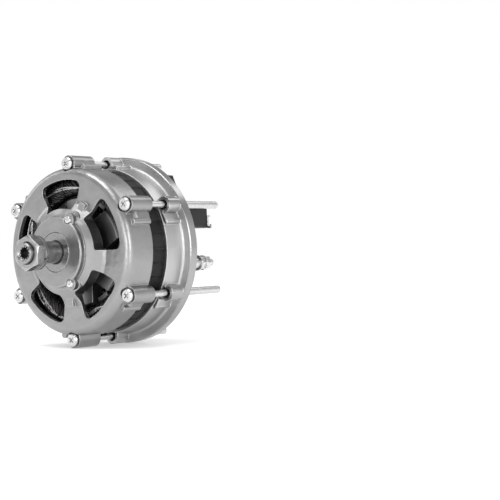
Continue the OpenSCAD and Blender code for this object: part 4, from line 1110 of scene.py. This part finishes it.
core_bars("weld_beads", SLOT_ANGLES[WELDED], width=1.6, height=0.65, ripple=0.1)
core_bars("core_ribs", SLOT_ANGLES[~WELDED], width=0.8, height=0.45, ripple=0.0)

# %% [markdown]
# The three phase leads are soldered to their terminals. Solder sets as a lumpy drop, so each is a
# sine dome whose radius waves round its axis. Its rim dips into the metal below.

# %% Solder drops
DROP_HEIGHT = 1.5
DROP_RADIUS = 2.7
DROP_LOBES = 5
DROP_LOBE_SHARE = 0.2
DROP_OVAL_SHARE = 0.07
DROP_DIP = -0.35
DROP_TOP = math.pi / 2 - 0.08
DROP_RINGS, DROP_POINTS = 9, 30
DROP_SEED = 3
DROP_DEPTH, DROP_LEVEL = 36.3, 45.4
PHASE_X = [-14.4, 1.6, 17.6]


def drops(name, places, body, slot, seed):
    """Rings of a dome that looks along Y: radius times cosine and height times sine of the rise.

    The radius is swelled by a sine of DROP_LOBES waves and one of two, at random phases.
    """
    draw = np.random.default_rng(seed)
    rise = np.linspace(DROP_DIP, DROP_TOP, DROP_RINGS)[:, None]
    turn = -(np.arange(DROP_POINTS) * 2 * math.pi / DROP_POINTS)[None, :]
    rings = []
    for x, y, z in places:
        lumps = 1 + DROP_LOBE_SHARE * np.sin(DROP_LOBES * turn + draw.uniform(0, ANY_PHASE)) \
            + DROP_OVAL_SHARE * np.sin(2 * turn + draw.uniform(0, ANY_PHASE))
        radius = DROP_RADIUS * np.cos(rise) * lumps
        place = around_axis(radius, DROP_HEIGHT * np.sin(rise), turn)
        rings.append(place + np.array([x, y, z]))
    return bars(name, np.array(rings), body, slot)


drops("phase_solder", [(x, DROP_DEPTH, DROP_LEVEL) for x in PHASE_X], "body", "tinned_steel",
      DROP_SEED)

# %% [markdown]
# Each white lead ends in a crimped sleeve. A sleeve is a bar whose radius swells and narrows along
# it, with two waists where the pliers pressed. A bare end of the conductor joins one of them to
# the round terminal.

# %% Crimped sleeves and a bare end
SLEEVE_RADIUS = 1.75
SLEEVE_SWELL = np.array([0.2, 1.02, 1.12, 1.1, 0.96, 1.1, 1.12, 0.96, 1.1, 1.12, 1.02, 0.2])
SLEEVES = [
    ("sleeve_lead_a_top", (-14.4, 34.8, 42.6), (-14.25, 34.1, 37.4)),
    ("sleeve_lead_b_top", (-29.2, 19.9, 32.6), (-28.9, 19.4, 28.6)),
    ("sleeve_lead_b_low", (-20.9, 10.4, -16.9), (-20.1, 8.9, -20.2)),
]
BARE_FROM, BARE_TO = (-28.9, 19.4, 28.8), (-29.4, 17.2, 23.9)
BARE_RADIUS = 0.8
SLEEVE_SIDES = 16
SLEEVE_OUT = np.array([1.0, 0.2, 0.1])
END_SHARE = 0.01


def straight(name, start, end, radius, swell, slot):
    """Rings along a line, each the radius times its own swell.

    They are even, but the second and the second last are at END_SHARE from the ends.
    """
    share = np.linspace(0, 1, len(swell))[:, None]
    share[1], share[-2] = END_SHARE, 1 - END_SHARE
    path = np.asarray(start) + share * (np.asarray(end, dtype=float) - start)
    outline = circle_outline(radius, SLEEVE_SIDES) * swell[:, None, None]
    return bars(name, swept(path, SLEEVE_OUT, outline)[None], "body", slot)


for name, start, end in SLEEVES:
    straight(name, start, end, SLEEVE_RADIUS, SLEEVE_SWELL, "tinned_steel")
straight("bare_end_lead_b", BARE_FROM, BARE_TO, BARE_RADIUS, np.full(6, 1.0), "tinned_steel")

# %% [markdown]
# Inside the brush holder two springs press the brushes on their rings. The model's springs can't
# shorten, so a brush that moves back would run into them. These ones stand for them: a wire on a
# helix.

# %% Brush springs
SPRING_LOW, SPRING_HIGH = -19.45, -14.65
SPRING_RADIUS = 1.5
SPRING_WIRE = 0.2
SPRING_TURNS = 5
SPRING_STEPS, SPRING_SIDES = 16, 8
SPRING_CLOSING = 0.085


def brush_spring(name, node, depth):
    """A helix about the Z direction, whose height climbs with the share of its turns.

    A sine of the share is taken off, so the climb is slow at both ends and closes the spring.
    """
    share = np.linspace(0, 1, SPRING_TURNS * SPRING_STEPS + 1)
    turn = 2 * math.pi * SPRING_TURNS * share
    climb = share - SPRING_CLOSING * np.sin(2 * math.pi * share)
    height = SPRING_LOW + SPRING_WIRE + (SPRING_HIGH - SPRING_LOW - 2 * SPRING_WIRE) * climb
    out = np.stack([np.cos(turn), np.sin(turn), 0 * turn], axis=-1)
    path = out * SPRING_RADIUS + np.stack([0 * turn, depth + 0 * turn, height], axis=-1)
    rings = swept(path, out, circle_outline(SPRING_WIRE, SPRING_SIDES))
    piece = bars(name, rings[None], "body", "bare_steel")
    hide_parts(node)
    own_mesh(piece)


brush_spring("coil_spring_inner", "spring_inner", 13.5)
brush_spring("coil_spring_outer", "spring_outer", 20.5)
